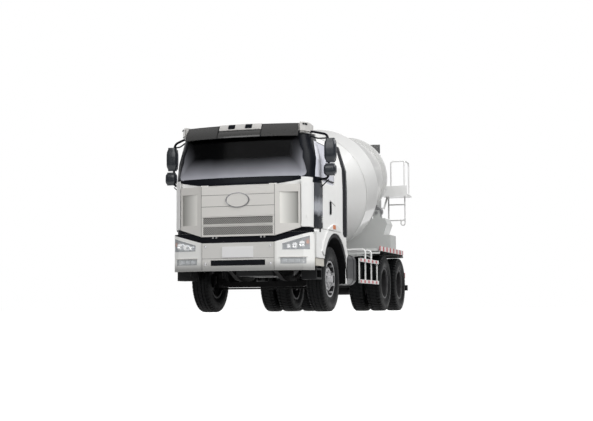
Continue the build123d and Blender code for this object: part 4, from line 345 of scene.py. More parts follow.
NODE_FINISH = {
    "pearl": "front_lid",
    "bumper": "bumper",
    "lip": "corner_deflectors",
    "side": "cab_shell door_left door_right wheel_arches",
    "glass": "windscreen",
    "door_glass": "door_glass_left door_glass_right",
    "lens": "front_lamps",
    "black": "sun_visor mirrors",
    "panel_gloss": "side_trims",
    "chassis": "chassis_frame entry_steps air_tanks underrun_bar jack_barrel",
    "axle": "front_axle leaf_springs drive_axles propeller_shaft knuckle_left knuckle_right tie_rod",
    "iron": "engine_block drum_drive",
    "wheel": "wheel_front_left wheel_front_right",
    "rear_wheel": "wheels_rear_1_left wheels_rear_1_right wheels_rear_2_left wheels_rear_2_right",
    "tyre": "tyre_front_left tyre_front_right tyres_rear_1_left tyres_rear_1_right "
    "tyres_rear_2_left tyres_rear_2_right",
    "drum": "mixer_drum",
    "mixer": "mixer_subframe front_pedestal rear_pedestal rear_fenders chute_turret chute",
    "steel": "drum_roller_left drum_roller_right jack_rod",
    "hopper": "hopper discharge_funnel",
    "white": "side_guards ladder_platform",
    "tank": "fuel_tank",
    "red": "tail_lamps",
    "fabric": "seats",
    "dash": "dashboard",
}
for finish_name, names in NODE_FINISH.items():
    for node_name in names.split():
        held = nodes[node_name].data.materials
        held.clear()
        held.append(M[finish_name])

# Mesh helpers


def placed(name, data):
    """New object in the scene."""
    made = bpy.data.objects.new(name, data)
    bpy.context.scene.collection.objects.link(made)
    return made


def piece(name, vertices, faces, material, body, smooth=35.0, bevel=0.0):
    """New mesh piece on a body, with its finish and edges smoothed up to an angle."""
    mesh = bpy.data.meshes.new(name)
    mesh.from_pydata([tuple(v) for v in vertices], [], faces)
    work = bmesh.new()
    work.from_mesh(mesh)
    bmesh.ops.remove_doubles(work, verts=work.verts, dist=1e-6)
    bmesh.ops.recalc_face_normals(work, faces=work.faces)
    if bevel:
        sharp = [e for e in work.edges if len(e.link_faces) == 2 and e.calc_face_angle() > radians(25)]
        bmesh.ops.bevel(work, geom=sharp, offset=bevel, segments=2, affect="EDGES", clamp_overlap=True)
    work.to_mesh(mesh)
    work.free()
    mesh.shade_smooth()
    mesh.set_sharp_from_angle(angle=radians(smooth))
    made = placed(name, mesh)
    made.data.materials.append(M[material])
    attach(made, body)
    return made


BOX_FACES = ((0, 2, 3, 1), (4, 5, 7, 6), (0, 1, 5, 4), (2, 6, 7, 3), (0, 4, 6, 2), (1, 3, 7, 5))


class Build:
    """Collects vertices and faces of several shapes into one mesh."""

    def __init__(self):
        self.vertices = []
        self.faces = []

    def add(self, vertices, faces):
        start = len(self.vertices)
        self.vertices += [Vector(v) for v in vertices]
        self.faces += [tuple(start + i for i in face) for face in faces]

    def box(self, low, high):
        x, y, z = ((min(a, b), max(a, b)) for a, b in zip(low, high))
        corners = [(i, j, k) for k in z for j in y for i in x]
        self.add(corners, BOX_FACES)

    def rings(self, rings, closed=True, caps=True):
        """Skin over rings of equal count."""
        count = len(rings[0])
        faces = []
        for row in range(len(rings) - 1):
            for i in range(count if closed else count - 1):
                j = (i + 1) % count
                a, b = row * count, (row + 1) * count
                faces.append((a + i, a + j, b + j, b + i))
        if caps:
            faces.append(tuple(range(count))[::-1])
            faces.append(tuple((len(rings) - 1) * count + i for i in range(count)))
        self.add([v for ring in rings for v in ring], faces)

    def tube(self, points, radius, bend=0.0, sides=12):
        """Round tube along straight runs with rounded corners."""
        self.rings(tube_rings(rounded(points, bend), radius, sides))

    def plate(self, outline, axis, low, high):
        """Prism: outline in the plane across an axis (0, 1 or 2), between two places along it."""
        rings = []
        for value in (low, high):
            ring = []
            for a, b in outline:
                place = [a, b]
                place.insert(axis, value)
                ring.append(Vector(place))
            rings.append(ring)
        self.rings(rings)

    def lathe(self, outline, centre, direction, turns=48, closed=False):
        """Skin of revolution: (along, out) points about an axis."""
        way = Vector(direction).normalized()
        side = way.orthogonal().normalized()
        up = way.cross(side)
        centre = Vector(centre)
        rings = []
        for step in range(turns):
            angle = 2 * pi * step / turns
            out = side * cos(angle) + up * sin(angle)
            rings.append([centre + way * a + out * r for a, r in outline])
        rings.append(rings[0])
        self.rings(rings, closed=closed, caps=False)

    def make(self, name, material, body, smooth=35.0, bevel=0.0):
        return piece(name, self.vertices, self.faces, material, body, smooth, bevel)


def boxes(name, corners, material, body, sides=(1, -1), bevel=0.0):
    """Piece of boxes, each given by two corners with y as a setback, on each of the given sides."""
    build = Build()
    for side in sides:
        for low, high in corners:
            build.box((side * low[0], at(low[1]), low[2]), (side * high[0], at(high[1]), high[2]))
    return build.make(name, material, body, bevel=bevel)


def rounded(points, bend, arc_steps=5):
    """Polyline with its inner corners rounded."""
    points = [Vector(p) for p in points]
    if not bend:
        return points
    line = [points[0]]
    for before, corner, after in zip(points, points[1:], points[2:]):
        into, out = (before - corner), (after - corner)
        reach = min(bend, into.length * 0.49, out.length * 0.49)
        start = corner + into.normalized() * reach
        end = corner + out.normalized() * reach
        for step in range(arc_steps + 1):
            t = step / arc_steps
            line.append(start * (1 - t) ** 2 + corner * 2 * t * (1 - t) + end * t * t)
    line.append(points[-1])
    return line


def tube_rings(line, radius, sides):
    rings = []
    normal = None
    turns = [2 * pi * i / sides for i in range(sides)]
    for number, place in enumerate(line):
        ahead = line[min(number + 1, len(line) - 1)] - line[max(number - 1, 0)]
        ahead.normalize()
        if normal is None:
            normal = ahead.orthogonal().normalized()
        normal = (normal - ahead * normal.dot(ahead)).normalized()
        across = ahead.cross(normal)
        rings.append([place + (normal * cos(a) + across * sin(a)) * radius for a in turns])
    return rings


# Tyres

LUGS = 46                      # cross grooves round a tyre
STEER_WIDTH, DRIVE_WIDTH = 0.300, 0.290
STEER_X, TWINS_X = 1.010, (0.745, 1.085)
LINER = (0.099, 0.2885)        # inner edge of the bead: along, out
SIDEWALL = (                   # inset from the full width, out, cut by the cross grooves or not
    (0.017, 0.345, 0), (0.007, 0.378, 0), (0.004, 0.379, 0), (0.001, 0.405, 0), (0.0, 0.432, 0),
    (0.003, 0.460, 0), (0.009, 0.486, 0), (0.006, 0.489, 1), (0.012, 0.515, 1), (0.021, 0.532, 1),
    (0.030, 0.5385, 1),
)


def tyre_profile(width, kind):
    """Section of a tyre from inner to outer bead: along, out, and depth of its cross grooves."""
    half = width / 2
    side = [(*LINER, 0), (0.107, 0.306, 0), (0.114, 0.312, 0)]
    side += [(half - inset, out, cut) for inset, out, cut in SIDEWALL]
    grooves = (0.092, 0.036) if kind == "steer" else (0.070,)
    crown = []
    for groove in grooves:
        crown += [
            (groove + 0.0065, 0.5415, 1 if groove == grooves[0] else 0.4),
            (groove + 0.0045, 0.5270, 0),
            (groove - 0.0045, 0.5270, 0),
            (groove - 0.0065, 0.5430, 0.4),
        ]
    outer = side + [point for point in crown if point[0] < side[-1][0]]
    return [(-a, r, d) for a, r, d in outer] + [(a, r, d) for a, r, d in reversed(outer)]


def add_tyre(build, centre, width, kind):
    """One tyre turned about X, with cross grooves cut by the ring's angle."""
    outline = tyre_profile(width, kind)
    depth = 0.011 if kind == "steer" else 0.017
    skew = 0.5 * 2 * pi / LUGS

    def place(along, out, angle):
        return Vector((centre[0] + along, centre[1] + out * sin(angle), centre[2] + out * cos(angle)))

    rings = []
    for lug in range(LUGS):
        for share, low in ((0.0, 0.0), (0.66, 0.0), (0.70, 1.0), (0.96, 1.0)):
            angle = 2 * pi * (lug + share) / LUGS
            cuts = [(a, r - depth * cut * low) for a, r, cut in outline]
            rings.append([place(a, r, angle + (skew if a < 0 else 0.0)) for a, r in cuts])
    rings.append(rings[0])
    build.rings(rings, closed=False, caps=False)
    along, out = LINER
    band = [[place(a, out, 2 * pi * number / LUGS) for a in (-along, along)] for number in range(LUGS + 1)]
    build.rings(band, closed=False, caps=False)


for side, hand in HANDS:
    build = Build()
    add_tyre(build, (side * STEER_X, at(FRONT_AXLE), AXLE_Z), STEER_WIDTH, "steer")
    made = build.make("tyre_front_" + hand + "_tread", "tyre", "front_" + hand + "_wheel", smooth=40)
    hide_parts("tyre_front_" + hand)
    for row, axle in enumerate(DRIVE_AXLES, 1):
        build = Build()
        for x in TWINS_X:
            add_tyre(build, (side * x, at(axle), AXLE_Z), DRIVE_WIDTH, "drive")
        name = "rear_%d_%s" % (row, hand)
        made = build.make("tyres_" + name + "_tread", "tyre", name + "_wheels", smooth=40)
        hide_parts("tyres_" + name)

# Cab skin: places on it by s, 0 in the middle, 1 at the front corner, 2 where the side starts, 3 at the rear.
# A level is a height, the setback of the front, the half width and setback of its corner, the setback where
# the side starts, the half width, and the setback of the cab's rear
LEVELS = (
    (1.275, 0.060, 1.000, 0.168, 0.520, 1.216, 2.150),
    (2.070, 0.042, 1.012, 0.160, 0.520, 1.220, 2.150),
    (2.440, 0.100, 0.985, 0.218, 0.540, 1.208, 2.150),
    (2.860, 0.165, 0.950, 0.284, 0.580, 1.092, 2.135),
    (3.010, 0.330, 0.860, 0.440, 0.640, 0.960, 2.060),
)


def level(z):
    for low, high in zip(LEVELS, LEVELS[1:]):
        if z <= high[0] or high is LEVELS[-1]:
            t = max(0.0, (z - low[0]) / (high[0] - low[0]))
            return [a + (b - a) * t for a, b in zip(low, high)][1:]


def skin(s, z, out=0.0):
    """Place on the cab's skin at s and height z, moved out by a little."""
    front, half_front, corner, side, half, rear = level(z)
    mirror = -1 if s < 0 else 1
    s = abs(s)
    if s <= 1.0:
        sag = corner - front
        radius = (half_front**2 + sag**2) / (2 * sag)
        x = half_front * s
        y = front + radius - sqrt(radius**2 - x**2)
        normal = Vector((x, y - front - radius, 0.0)).normalized()
    elif s <= 2.0:
        t = s - 1.0
        first, last = Vector((half_front, corner)), Vector((half, side))
        middle = Vector((half_front + (half - half_front) * 0.66, corner + (side - corner) * 0.34))
        handle = middle * 2 - (first + last) * 0.5
        place = first * (1 - t) ** 2 + handle * 2 * t * (1 - t) + last * t * t
        way = (handle - first) * (1 - t) + (last - handle) * t
        x, y = place
        normal = Vector((way.y, -way.x, 0.0)).normalized()
    else:
        x = half
        y = side + (rear - side) * (s - 2.0)
        normal = Vector((1.0, 0.0, 0.0))
    place = Vector((x, FACE + y, z)) + normal * out
    place.x *= mirror
    return place


def rounded_loop(low_s, high_s, low_z, high_z, radius_s, radius_z, arc_steps=8):
    """Rectangle in (s, z) with rounded corners, counter-clockwise from the low right corner."""
    loop = []
    for cs, cz, start in (
        (high_s - radius_s, low_z + radius_z, -90),
        (high_s - radius_s, high_z - radius_z, 0),
        (low_s + radius_s, high_z - radius_z, 90),
        (low_s + radius_s, low_z + radius_z, 180),
    ):
        for step in range(arc_steps + 1):
            a = radians(start + 90 * step / arc_steps)
            loop.append((cs + radius_s * cos(a), cz + radius_z * sin(a)))
    return loop


def densify(loop, most=0.12):
    """Loop of (s, z) places with long runs divided."""
    dense = []
    for (s, z), (s2, z2) in zip(loop, loop[1:] + loop[:1]):
        parts = max(1, int(hypot(s2 - s, z2 - z) / most))
        dense += [(s + (s2 - s) * k / parts, z + (z2 - z) * k / parts) for k in range(parts)]
    return dense


def skin_band(build, inner, outer, out_low, out_high, rows=5):
    """Band on the cab's skin between two loops of (s, z) of equal count, with a thickness."""
    grid = []
    for row in range(rows + 1):
        t = row / rows
        grid.append([(a[0] + (b[0] - a[0]) * t, a[1] + (b[1] - a[1]) * t) for a, b in zip(inner, outer)])
    top = [[skin(s, z, out_high) for s, z in ring] for ring in grid]
    low = [[skin(s, z, out_low) for s, z in ring] for ring in reversed(grid)]
    build.rings(top + low + [top[0]], caps=False)


def skin_slab(build, grid, out_low, out_high):
    """Slab over a grid of (s, z) places on the cab's skin, between two distances from it."""
    rows, columns = len(grid) - 1, len(grid[0]) - 1
    count = columns + 1
    offset = count * (rows + 1)
    corners = [row * count + i for row in range(rows) for i in range(columns)]
    faces = [(a, a + 1, a + count + 1, a + count) for a in corners]
    faces += [tuple(offset + v for v in reversed(face)) for face in faces]
    rim = list(range(count)) + [r * count + columns for r in range(1, rows + 1)]
    rim += [rows * count + i for i in range(columns - 1, -1, -1)]
    rim += [r * count for r in range(rows - 1, 0, -1)]
    faces += [(b, a, offset + a, offset + b) for a, b in zip(rim, rim[1:] + rim[:1])]
    build.add([skin(s, z, out) for out in (out_high, out_low) for line in grid for s, z in line], faces)


def skin_patch(build, low_line, high_line, columns, rows, out_low, out_high):
    """Slab on the cab's skin between a lower and an upper line, each a z or a function of s."""
    grid = []
    for row in range(rows + 1):
        lines = [(s, value_at(low_line, s), value_at(high_line, s)) for s in columns]
        grid.append([(s, low + (high - low) * (row / rows)) for s, low, high in lines])
    skin_slab(build, grid, out_low, out_high)


# Windscreen: black surround, glass face, and a band of painted shade in the gap under the lid
SCREEN_S, SCREEN_Z = 1.28, (2.160, 2.830)      # the surround's opening
SURROUND_S, SURROUND_TOP = 1.62, 2.856         # its outer edge
KEPT_S, KEPT_Z = 0.80, (2.36, 2.62)            # between these the outer edge keeps the inner one's place


def surround_foot(s):
    """Lower edge of the surround: low in the middle, rising outwards."""
    return 2.036 if abs(s) < 0.62 else 2.036 + (abs(s) - 0.62) * 0.16


def surround_edge(s, z):
    """Place on the surround's outer edge that belongs to one on its inner edge."""
    if abs(s) > KEPT_S:
        s = ((abs(s) - KEPT_S) / (SCREEN_S - KEPT_S) * (SURROUND_S - KEPT_S) + KEPT_S) * (1 if s > 0 else -1)
    low, high = KEPT_Z
    if z < low:
        z = low + (surround_foot(s) - low) * ((low - z) / (low - SCREEN_Z[0]))
    elif z > high:
        z = high + (SURROUND_TOP - high) * ((z - high) / (SCREEN_Z[1] - high))
    return s, z


build = Build()
inner = densify(rounded_loop(-SCREEN_S, SCREEN_S, *SCREEN_Z, 0.20, 0.11))
skin_band(build, inner, [surround_edge(s, z) for s, z in inner], -0.004, 0.006)
build.make("screen_surround", "gloss_black", "cab", smooth=50)
build = Build()
skin_patch(build, 2.150, 2.838, steps(-1.32, 1.32, 66), 10, -0.002, 0.004)
build.make("screen_face", "glass", "cab", smooth=50)


def lower_band_top(s):
    return 1.34 if abs(s) > 1 else 1.20 + abs(s) * 0.14 + 0.08


# Black band of painted shade in the V-shaped gap along the foot of the cab's front
build = Build()
skin_patch(build, 1.277, lower_band_top, steps(-2.02, 2.02, 64), 2, -0.002, 0.004)
build.make("lower_gap_shade", "black", "cab")

# Slabs that follow the front in plan: (x, setback) corners
LID_PLAN = ((0.0, 0.0), (0.62, 0.0), (1.02, 0.104), (1.20, 0.215))


def plan_y(x, line=LID_PLAN):
    """Setback of a line of the front in plan."""
    x = abs(x)
    for (x0, y0), (x1, y1) in zip(line, line[1:]):
        if x <= x1:
            return y0 + (y1 - y0) * (x - x0) / (x1 - x0)
    return line[-1][1]


def front_slab(build, columns, low, high, depth, thick, line=LID_PLAN):
    """Upright slab following the front's plan; low and high are z or functions of x, depth its setback."""
    rings = []
    for x in columns:
        y = at(plan_y(x, line) + depth)
        corners = ((y, low), (y, high), (y + thick, high), (y + thick, low))
        rings.append([Vector((x, place, value_at(z, x))) for place, z in corners])
    build.rings(rings)


def bumper_slabs(name, reach, count, z, depth, thick, material, bevel=0.0):
    """Piece of one slab on each side of the bumper, between two distances from the middle."""
    build = Build()
    for side in (1, -1):
        columns = [side * x for x in steps(*reach, count)][::side]
        front_slab(build, columns, *z, depth, thick, BUMPER_PLAN)
    build.make(name, material, "chassis", bevel=bevel)


def v_line(middle, corner, flat=0.62, reach=1.02):
    return lambda x: middle + max(0.0, (abs(x) - flat) / (reach - flat)) * (corner - middle)


build = Build()
front_slab(build, steps(-1.19, 1.19, 34), v_line(1.06, 1.18), v_line(1.262, 1.27), 0.042, 0.012)
build.make("radiator_band", "black", "chassis")

# Front lid: mesh, bars, floors of the side scoops, and the empty ring of the badge place
MESH_HALF, MESH_ROWS = 0.588, ((1.238, 1.368), (1.412, 1.520))
BAR_HALF, BAR_ROWS = 0.600, (1.393, 1.526)
SCOOP_Z, SCOOP_THICK = (1.40, 1.90), 0.006
BADGE_HALF, BADGE_Z = (0.200, 0.118), 1.79
panes = [((-MESH_HALF, 0.0035, low + 0.001), (MESH_HALF, 0.0120, high - 0.001)) for low, high in MESH_ROWS]
boxes("grille_mesh", panes, "mesh", "lid", (1,))
bars = [((-BAR_HALF, -0.006, z - 0.010), (BAR_HALF, 0.002, z + 0.010)) for z in BAR_ROWS]
boxes("grille_bars", bars, "pearl", "lid", (1,), bevel=0.004)

build = Build()
low, high = SCOOP_Z
for side in (1, -1):
    rings = []
    for x, y in ((0.700, 0.0295), (0.985, 0.1115)):
        corners = ((y, low), (y, high), (y + SCOOP_THICK, high), (y + SCOOP_THICK, low))
        rings.append([Vector((side * x, at(place), z)) for place, z in corners])
    build.rings(rings)
build.make("scoop_floors", "scoop", "lid")

build = Build()
ring, count = [], 48
for number in range(count):
    a = 2 * pi * number / count
    for grow, out in ((1.0, 0.0), (1.02, 0.012), (0.93, 0.013), (0.90, 0.006)):
        x, z = BADGE_HALF[0] * grow * cos(a), BADGE_Z + BADGE_HALF[1] * grow * sin(a)
        ring.append(Vector((x, at(0.0) - out, z)))
pairs = [(4 * i + k, 4 * ((i + 1) % count) + k) for i in range(count) for k in range(3)]
build.add(ring, [(a, b, b + 1, a + 1) for a, b in pairs])
build.make("badge_ring", "badge", "lid", smooth=60)

# Visor in three parts, and the roof's lamp bar, lamps and corner pieces
VISOR = ((-0.965, -0.372, 3.018), (-0.364, 0.364, 2.925), (0.372, 0.965, 3.018))
EAR = (
    (0.975, 0.180), (1.050, 0.250), (1.095, 0.360), (1.105, 0.500), (1.085, 0.640), (0.960, 0.660),
    (0.900, 0.400),
)
EAR_SLIT = ((1.030, 0.222), (1.084, 0.300), (1.070, 0.320), (1.016, 0.245))
VISOR_SETBACKS, VISOR_FOOT, VISOR_RISE = (0.032, 0.150), 2.80, 0.222
VISOR_BOW = 0.132              # setback in plan, grows with the square of x


def visor_section(x, low, high, thick=0.036, bulge=0.018, forward=0.0):
    """Closed section of the visor at x, from its lower front edge to its top."""
    bow = VISOR_BOW * x * x
    near, far = VISOR_SETBACKS
    front = []
    for t in (0.0, 0.12, 0.3, 0.5, 0.7, 0.88, 1.0):
        z = low + (high - low) * t
        y = near + (far - near) * ((z - VISOR_FOOT) / VISOR_RISE) + bow - bulge * sin(pi * t) - forward
        front.append(Vector((x, at(y), z)))
    back = [v + Vector((0.0, thick, 0.0)) for v in reversed(front)]
    return front + back


for number, (low_x, high_x, top) in enumerate(VISOR, 1):
    build = Build()
    build.rings([visor_section(x, 2.798, top) for x in steps(low_x, high_x, 10)])
    build.make("visor_part_%d" % number, "visor", "cab", bevel=0.007)
build = Build()
build.rings([visor_section(x, 2.928, 3.032, 0.06, 0.006, 0.012) for x in steps(-0.360, 0.360, 10)])
build.make("roof_lamp_bar", "roof", "cab", bevel=0.008)
build = Build()
for x in (-0.140, 0.150):
    build.rings([visor_section(u, 2.952, 3.026, 0.05, 0.006, 0.022) for u in steps(x - 0.058, x + 0.058, 3)])
build.make("roof_lamps", "gloss_black", "cab", bevel=0.006)
build = Build()
slit = Build()
corner = Build()
for side in (1, -1):
    build.plate([(side * x, at(y)) for x, y in EAR], 2, 2.868, 3.036)
    slit.plate([(side * x, at(y)) for x, y in EAR_SLIT], 2, 2.985, 3.012)
    skin_patch(corner, 2.862, 3.004, [side * s for s in steps(1.0, 2.05, 14)][::side], 4, -0.01, 0.045)
build.make("roof_ears", "roof", "cab", bevel=0.022, smooth=50)
slit.make("roof_ear_slits", "gloss_black", "cab")
corner.make("roof_corners", "side", "cab", bevel=0.012)

# Side of the cab: black pillar, quarter glass, corner panel, rear strip
DOOR_FRONT, DOOR_BEND = 0.590, 2.22    # setback of its front edge, and the height where that starts to lean


def door_line(z):
    """Setback of the door's front edge at a height."""
    return DOOR_FRONT if z < DOOR_BEND else DOOR_FRONT + 0.075 * (z - DOOR_BEND) / 0.63


def s_at(setback, z):
    """The s of a place on the cab's skin so far behind the face."""
    low, high = 1.0, 3.0
    for _ in range(30):
        middle = (low + high) / 2
        if skin(middle, z).y < at(setback):
            low = middle
        else:
            high = middle
    return low


def side_patch(build, side, low_z, high_z, front, rear, out, columns=8, rows=8):
    """Slab on the cab's skin between two setbacks, each a number or a function of height."""
    grid = []
    for row in range(rows + 1):
        z = low_z + (high_z - low_z) * row / rows
        first, last = s_at(value_at(front, z), z), s_at(value_at(rear, z), z)
        grid.append([(side * (first + (last - first) * i / columns), z) for i in range(columns + 1)])
    skin_slab(build, grid, *out)


def pillar_line(z):
    """Setback where the black pillar gives way to the quarter glass."""
    return 0.360 + 0.150 * max(0.0, min(1.0, (z - 2.19) / 0.58))


def pillar_front(z):
    return 0.235 + 0.02 * (z > 2.5)


def behind(line, gap):
    """A line on the side, moved back by a gap."""
    return lambda z: line(z) + gap


PILLAR_OUT = (-0.003, 0.013)
build = Build()
quarter = Build()
panel = Build()
strip = Build()
for side in (1, -1):
    side_patch(build, side, 2.060, 2.855, pillar_front, behind(pillar_line, -0.002), PILLAR_OUT)
    side_patch(build, side, 2.060, 2.158, pillar_line, 0.585, PILLAR_OUT, 4, 2)
    side_patch(build, side, 2.762, 2.855, pillar_line, behind(door_line, -0.006), PILLAR_OUT, 4, 2)
    side_patch(quarter, side, 2.160, 2.760, pillar_line, behind(door_line, -0.006), (-0.003, 0.010))
    side_patch(panel, side, 1.337, 2.056, 0.345, 0.585, (-0.003, 0.0185))
    side_patch(strip, side, 1.282, 2.850, 1.915, 2.132, (-0.003, 0.008), 2, 8)
build.make("corner_pillars", "gloss_black", "cab", smooth=50)
quarter.make("quarter_glass", "door_glass", "cab", smooth=50)
panel.make("corner_panels", "panel_gloss", "cab", smooth=50)
strip.make("rear_edge_strips", "black", "cab", smooth=50)

# Mirrors


def soft_box(build, centre, half, rows=11, power=6.0, sides=32):
    """Rounded housing: superellipse sections stacked along Z, drawn in at both ends."""
    cx, cy, cz = centre
    hx, hy, hz = half
    rings = []
    for row in range(rows + 1):
        t = sin((-1 + 2 * row / rows) * pi / 2)
        shrink = max((1 - abs(t) ** 5) ** 0.5 if abs(t) < 1 else 0.0, 0.74)
        ring = []
        for i in range(sides):
            a = 2 * pi * i / sides
            c, s = cos(a), sin(a)
            reach = (abs(c) ** power + abs(s) ** power) ** (-1 / power)
            ring.append(Vector((cx + hx * shrink * reach * c, cy + hy * shrink * reach * s, cz + hz * t)))
        rings.append(ring)
    build.rings(rings)


# Middle, height, half width and half height of each
MIRRORS = (
    (1.405, 2.587, 0.096, 0.196),
    (1.398, 2.275, 0.100, 0.098),
    (-1.348, 2.560, 0.094, 0.196),
    (-1.366, 2.232, 0.092, 0.108),
)
MIRROR_Y = 0.505
build = Build()
panes = []
for x, z, half_x, half_z in MIRRORS:
    soft_box(build, (x, at(MIRROR_Y), z), (half_x, 0.058, half_z))
    low = (x - half_x + 0.018, MIRROR_Y + 0.054, z - half_z + 0.03)
    panes.append((low, (x + half_x - 0.018, MIRROR_Y + 0.0585, z + half_z - 0.03)))
mirrors = build.make("mirror_housings", "housing", "cab", smooth=55)
boxes("mirror_glass", panes, "chrome", "cab", (1,))
build = Build()
for side, reach, drop in ((1, 1.375, 0.0), (-1, 1.320, -0.03)):
    knees = ((-0.03, 2.850), (0.0, 2.76), (0.0, 2.19), (-0.03, 2.135))
    arm = [(reach + inset, MIRROR_Y, z + drop) for inset, z in knees]
    arm = [(0.960, 0.40, 2.900), (1.130, 0.44, 2.895 + drop), *arm, (1.19, 0.53, 2.125)]
    strut = [(1.06, 0.46, 2.84), (1.20, 0.47, 2.785 + drop), (reach, MIRROR_Y, 2.79 + drop)]
    stay = [(reach, MIRROR_Y, 2.12 + drop), (1.215, 0.55, 1.985)]
    for line, radius, bend in ((arm, 0.019, 0.06), (strut, 0.012, 0.03), (stay, 0.008, 0.0)):
        build.tube([(side * x, at(y), z) for x, y, z in line], radius, bend)
build.make("mirror_arms", "black", "cab", smooth=50)
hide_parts("mirrors")

# Door furniture: handle, painted shade along the crease, window with its seal, and the panel at the front
# edge
WINDOW_Z, WINDOW_REAR = (2.165, 2.750), 1.345
SEAL_OUT = (-0.002, 0.006)
CREASE = ((1.10, 1.832), (1.427, 1.765), (1.427, 1.772), (1.10, 1.840))
for side, hand in HANDS:
    body = hand + "_door"
    handle = [((1.2195, 1.085, 1.60), (1.238, 1.155, 1.82))]
    boxes("door_handle_" + hand, handle, "black", body, (side,), bevel=0.008)
    # Thin strip of painted shade along the door's crease
    build = Build()
    build.plate([(at(y), z) for y, z in CREASE], 0, side * 1.2205, side * 1.2225)
    build.make("door_crease_shade_" + hand, "shadow", body)
    build = Build()
    side_patch(build, side, *WINDOW_Z, behind(door_line, 0.014), WINDOW_REAR, (-0.002, 0.005))
    build.make("window_slab_" + hand, "door_glass", body)
    build = Build()
    seal_front, seal_rear = behind(door_line, 0.004), WINDOW_REAR + 0.012
    side_patch(build, side, 2.153, 2.163, seal_front, seal_rear, SEAL_OUT, 8, 1)
    side_patch(build, side, 2.752, 2.762, seal_front, seal_rear, SEAL_OUT, 8, 1)
    side_patch(build, side, 2.163, 2.752, seal_front, behind(door_line, 0.012), SEAL_OUT, 1, 8)
    side_patch(build, side, 2.163, 2.752, WINDOW_REAR + 0.002, seal_rear, SEAL_OUT, 1, 8)
    build.make("window_seal_" + hand, "rubber", body)
    build = Build()
    side_patch(build, side, 1.346, 2.056, 0.596, 0.645, (-0.002, 0.011), 1, 2)
    build.make("door_front_panel_" + hand, "panel_gloss", body)

# Wheel arches: dark liner, dark rim, white lip whose upper part is on the door, and the flap's pale edge
DOOR_FOOT = 1.346              # above it the lip is on the door
LIP_TOP = 1.333                # of the lip that stays with the arch
LIP_X, LIP_OUT = (1.2165, 1.2345), 0.905


def arch_place(x, radius, angle):
    """Place so far from the front axle, its angle from straight up towards the rear, in degrees."""
    a = radians(angle)
    return Vector((x, at(FRONT_AXLE + radius * sin(a)), AXLE_Z + radius * cos(a)))


def arch_band(build, side, reach, angles, inner, outer):
    """Curved band about the front axle; inner and outer are radii or functions of the angle."""
    low, high = reach
    rings = []
    for angle in angles:
        corners = ((low, inner), (high, inner), (high, outer), (low, outer))
        rings.append([arch_place(side * x, value_at(radius, angle), angle) for x, radius in corners])
    build.rings(rings)


def reach_to(z):
    """Radius at which a ray from the axle meets a height, as a function of the angle."""
    return lambda angle: (z - AXLE_Z) / max(0.05, cos(radians(angle)))


def lip_edge(angle):
    return min(LIP_OUT, max(0.764, reach_to(LIP_TOP)(angle)))


liner = Build()
rim = Build()
lip = Build()
rear_lip = Build()
for side in (1, -1):
    arch_band(liner, side, (0.745, 1.2185), steps(-62.0, 90.0, 40), 0.6905, 0.6985)
    liner.box((side * 0.745, at(2.0805), 0.475), (side * 1.2185, at(2.0885), 0.548))
    arch_band(rim, side, (1.2165, 1.2225), steps(-60.0, 88.0, 40), 0.6960, 0.757)
    arch_band(lip, side, LIP_X, steps(-62.0, 62.0, 48), 0.760, lip_edge)
    arch_band(rear_lip, side, LIP_X, steps(3.4, 27.5, 12), reach_to(DOOR_FOOT), LIP_OUT)
ARCHES = BODY_OF["wheel_arches"]
liner.make("arch_liners", "dark", ARCHES, smooth=50)
rim.make("arch_rims", "rubber", ARCHES, smooth=50)
lip.make("arch_lips", "lip", ARCHES, smooth=50, bevel=0.004)
rear_lip.make("arch_lips_behind_doors", "lip", "cab", smooth=50, bevel=0.003)
boxes("flap_edges", [((1.2165, 2.056, 0.475), (1.2225, 2.128, 1.200))], "lip", ARCHES)
for side, hand in HANDS:
    build = Build()
    arch_band(build, side, LIP_X, steps(-27.5, 2.3, 16), reach_to(DOOR_FOOT), LIP_OUT)
    build.make("arch_lip_on_door_" + hand, "lip", hand + "_door", smooth=50, bevel=0.003)
    lens = [((1.2300, 1.235, 1.368), (1.2430, 1.385, 1.440))]
    boxes("side_turn_lamp_" + hand, lens, "amber", hand + "_door", (side,), bevel=0.005)

# Lamps and bumper furniture
BUMPER_PLAN = ((0.0, 0.0), (0.61, 0.0), (1.06, 0.102), (1.16, 0.175), (1.212, 0.255), (1.2125, 0.30))
BOWLS = ((0.830, 1.038, 0.036), (0.925, 1.050, 0.048), (1.035, 1.072, 0.052))     # distance out, z, radius
BOWL = ((0.0, 0.0), (0.002, 0.4), (0.010, 0.75), (0.024, 1.0), (0.027, 1.0), (0.027, 1.08), (0.0, 1.08))
STUDS = ((-0.55, 1.05), (0.55, 1.05), (-0.55, 0.77), (0.55, 0.77))


def reflector_top(x):
    return 1.076 + max(0.0, (abs(x) - 0.742) / 0.40) * 0.115


bumper_slabs("lamp_reflectors", (0.742, 1.143), 12, (0.990, reflector_top), 0.036, 0.004, "reflector")
build = Build()
for side in (1, -1):
    for x, z, r in BOWLS:
        centre = (side * x, at(plan_y(x, BUMPER_PLAN) + 0.032), z)
        build.lathe([(depth, r * out) for depth, out in BOWL], centre, (side * 0.22, -1.0, 0.0), 24)
build.make("lamp_bowls", "chrome", "chassis", smooth=50)
bumper_slabs("turn_lamps", (1.100, 1.140), 4, (1.070, 1.135), 0.004, 0.020, "amber", bevel=0.006)
lenses = []
for x in (0.775, 0.875, 0.975):
    y = plan_y(x, BUMPER_PLAN)
    lenses.append(((x - 0.036, y + 0.002, 0.780), (x + 0.036, y + 0.020, 0.840)))
boxes("fog_lamps", lenses, "lens_solid", "chassis", bevel=0.006)
bumper_slabs("fog_brows", (0.690, 1.120), 12, (0.860, 0.872), -0.012, 0.02, "pearl", bevel=0.004)

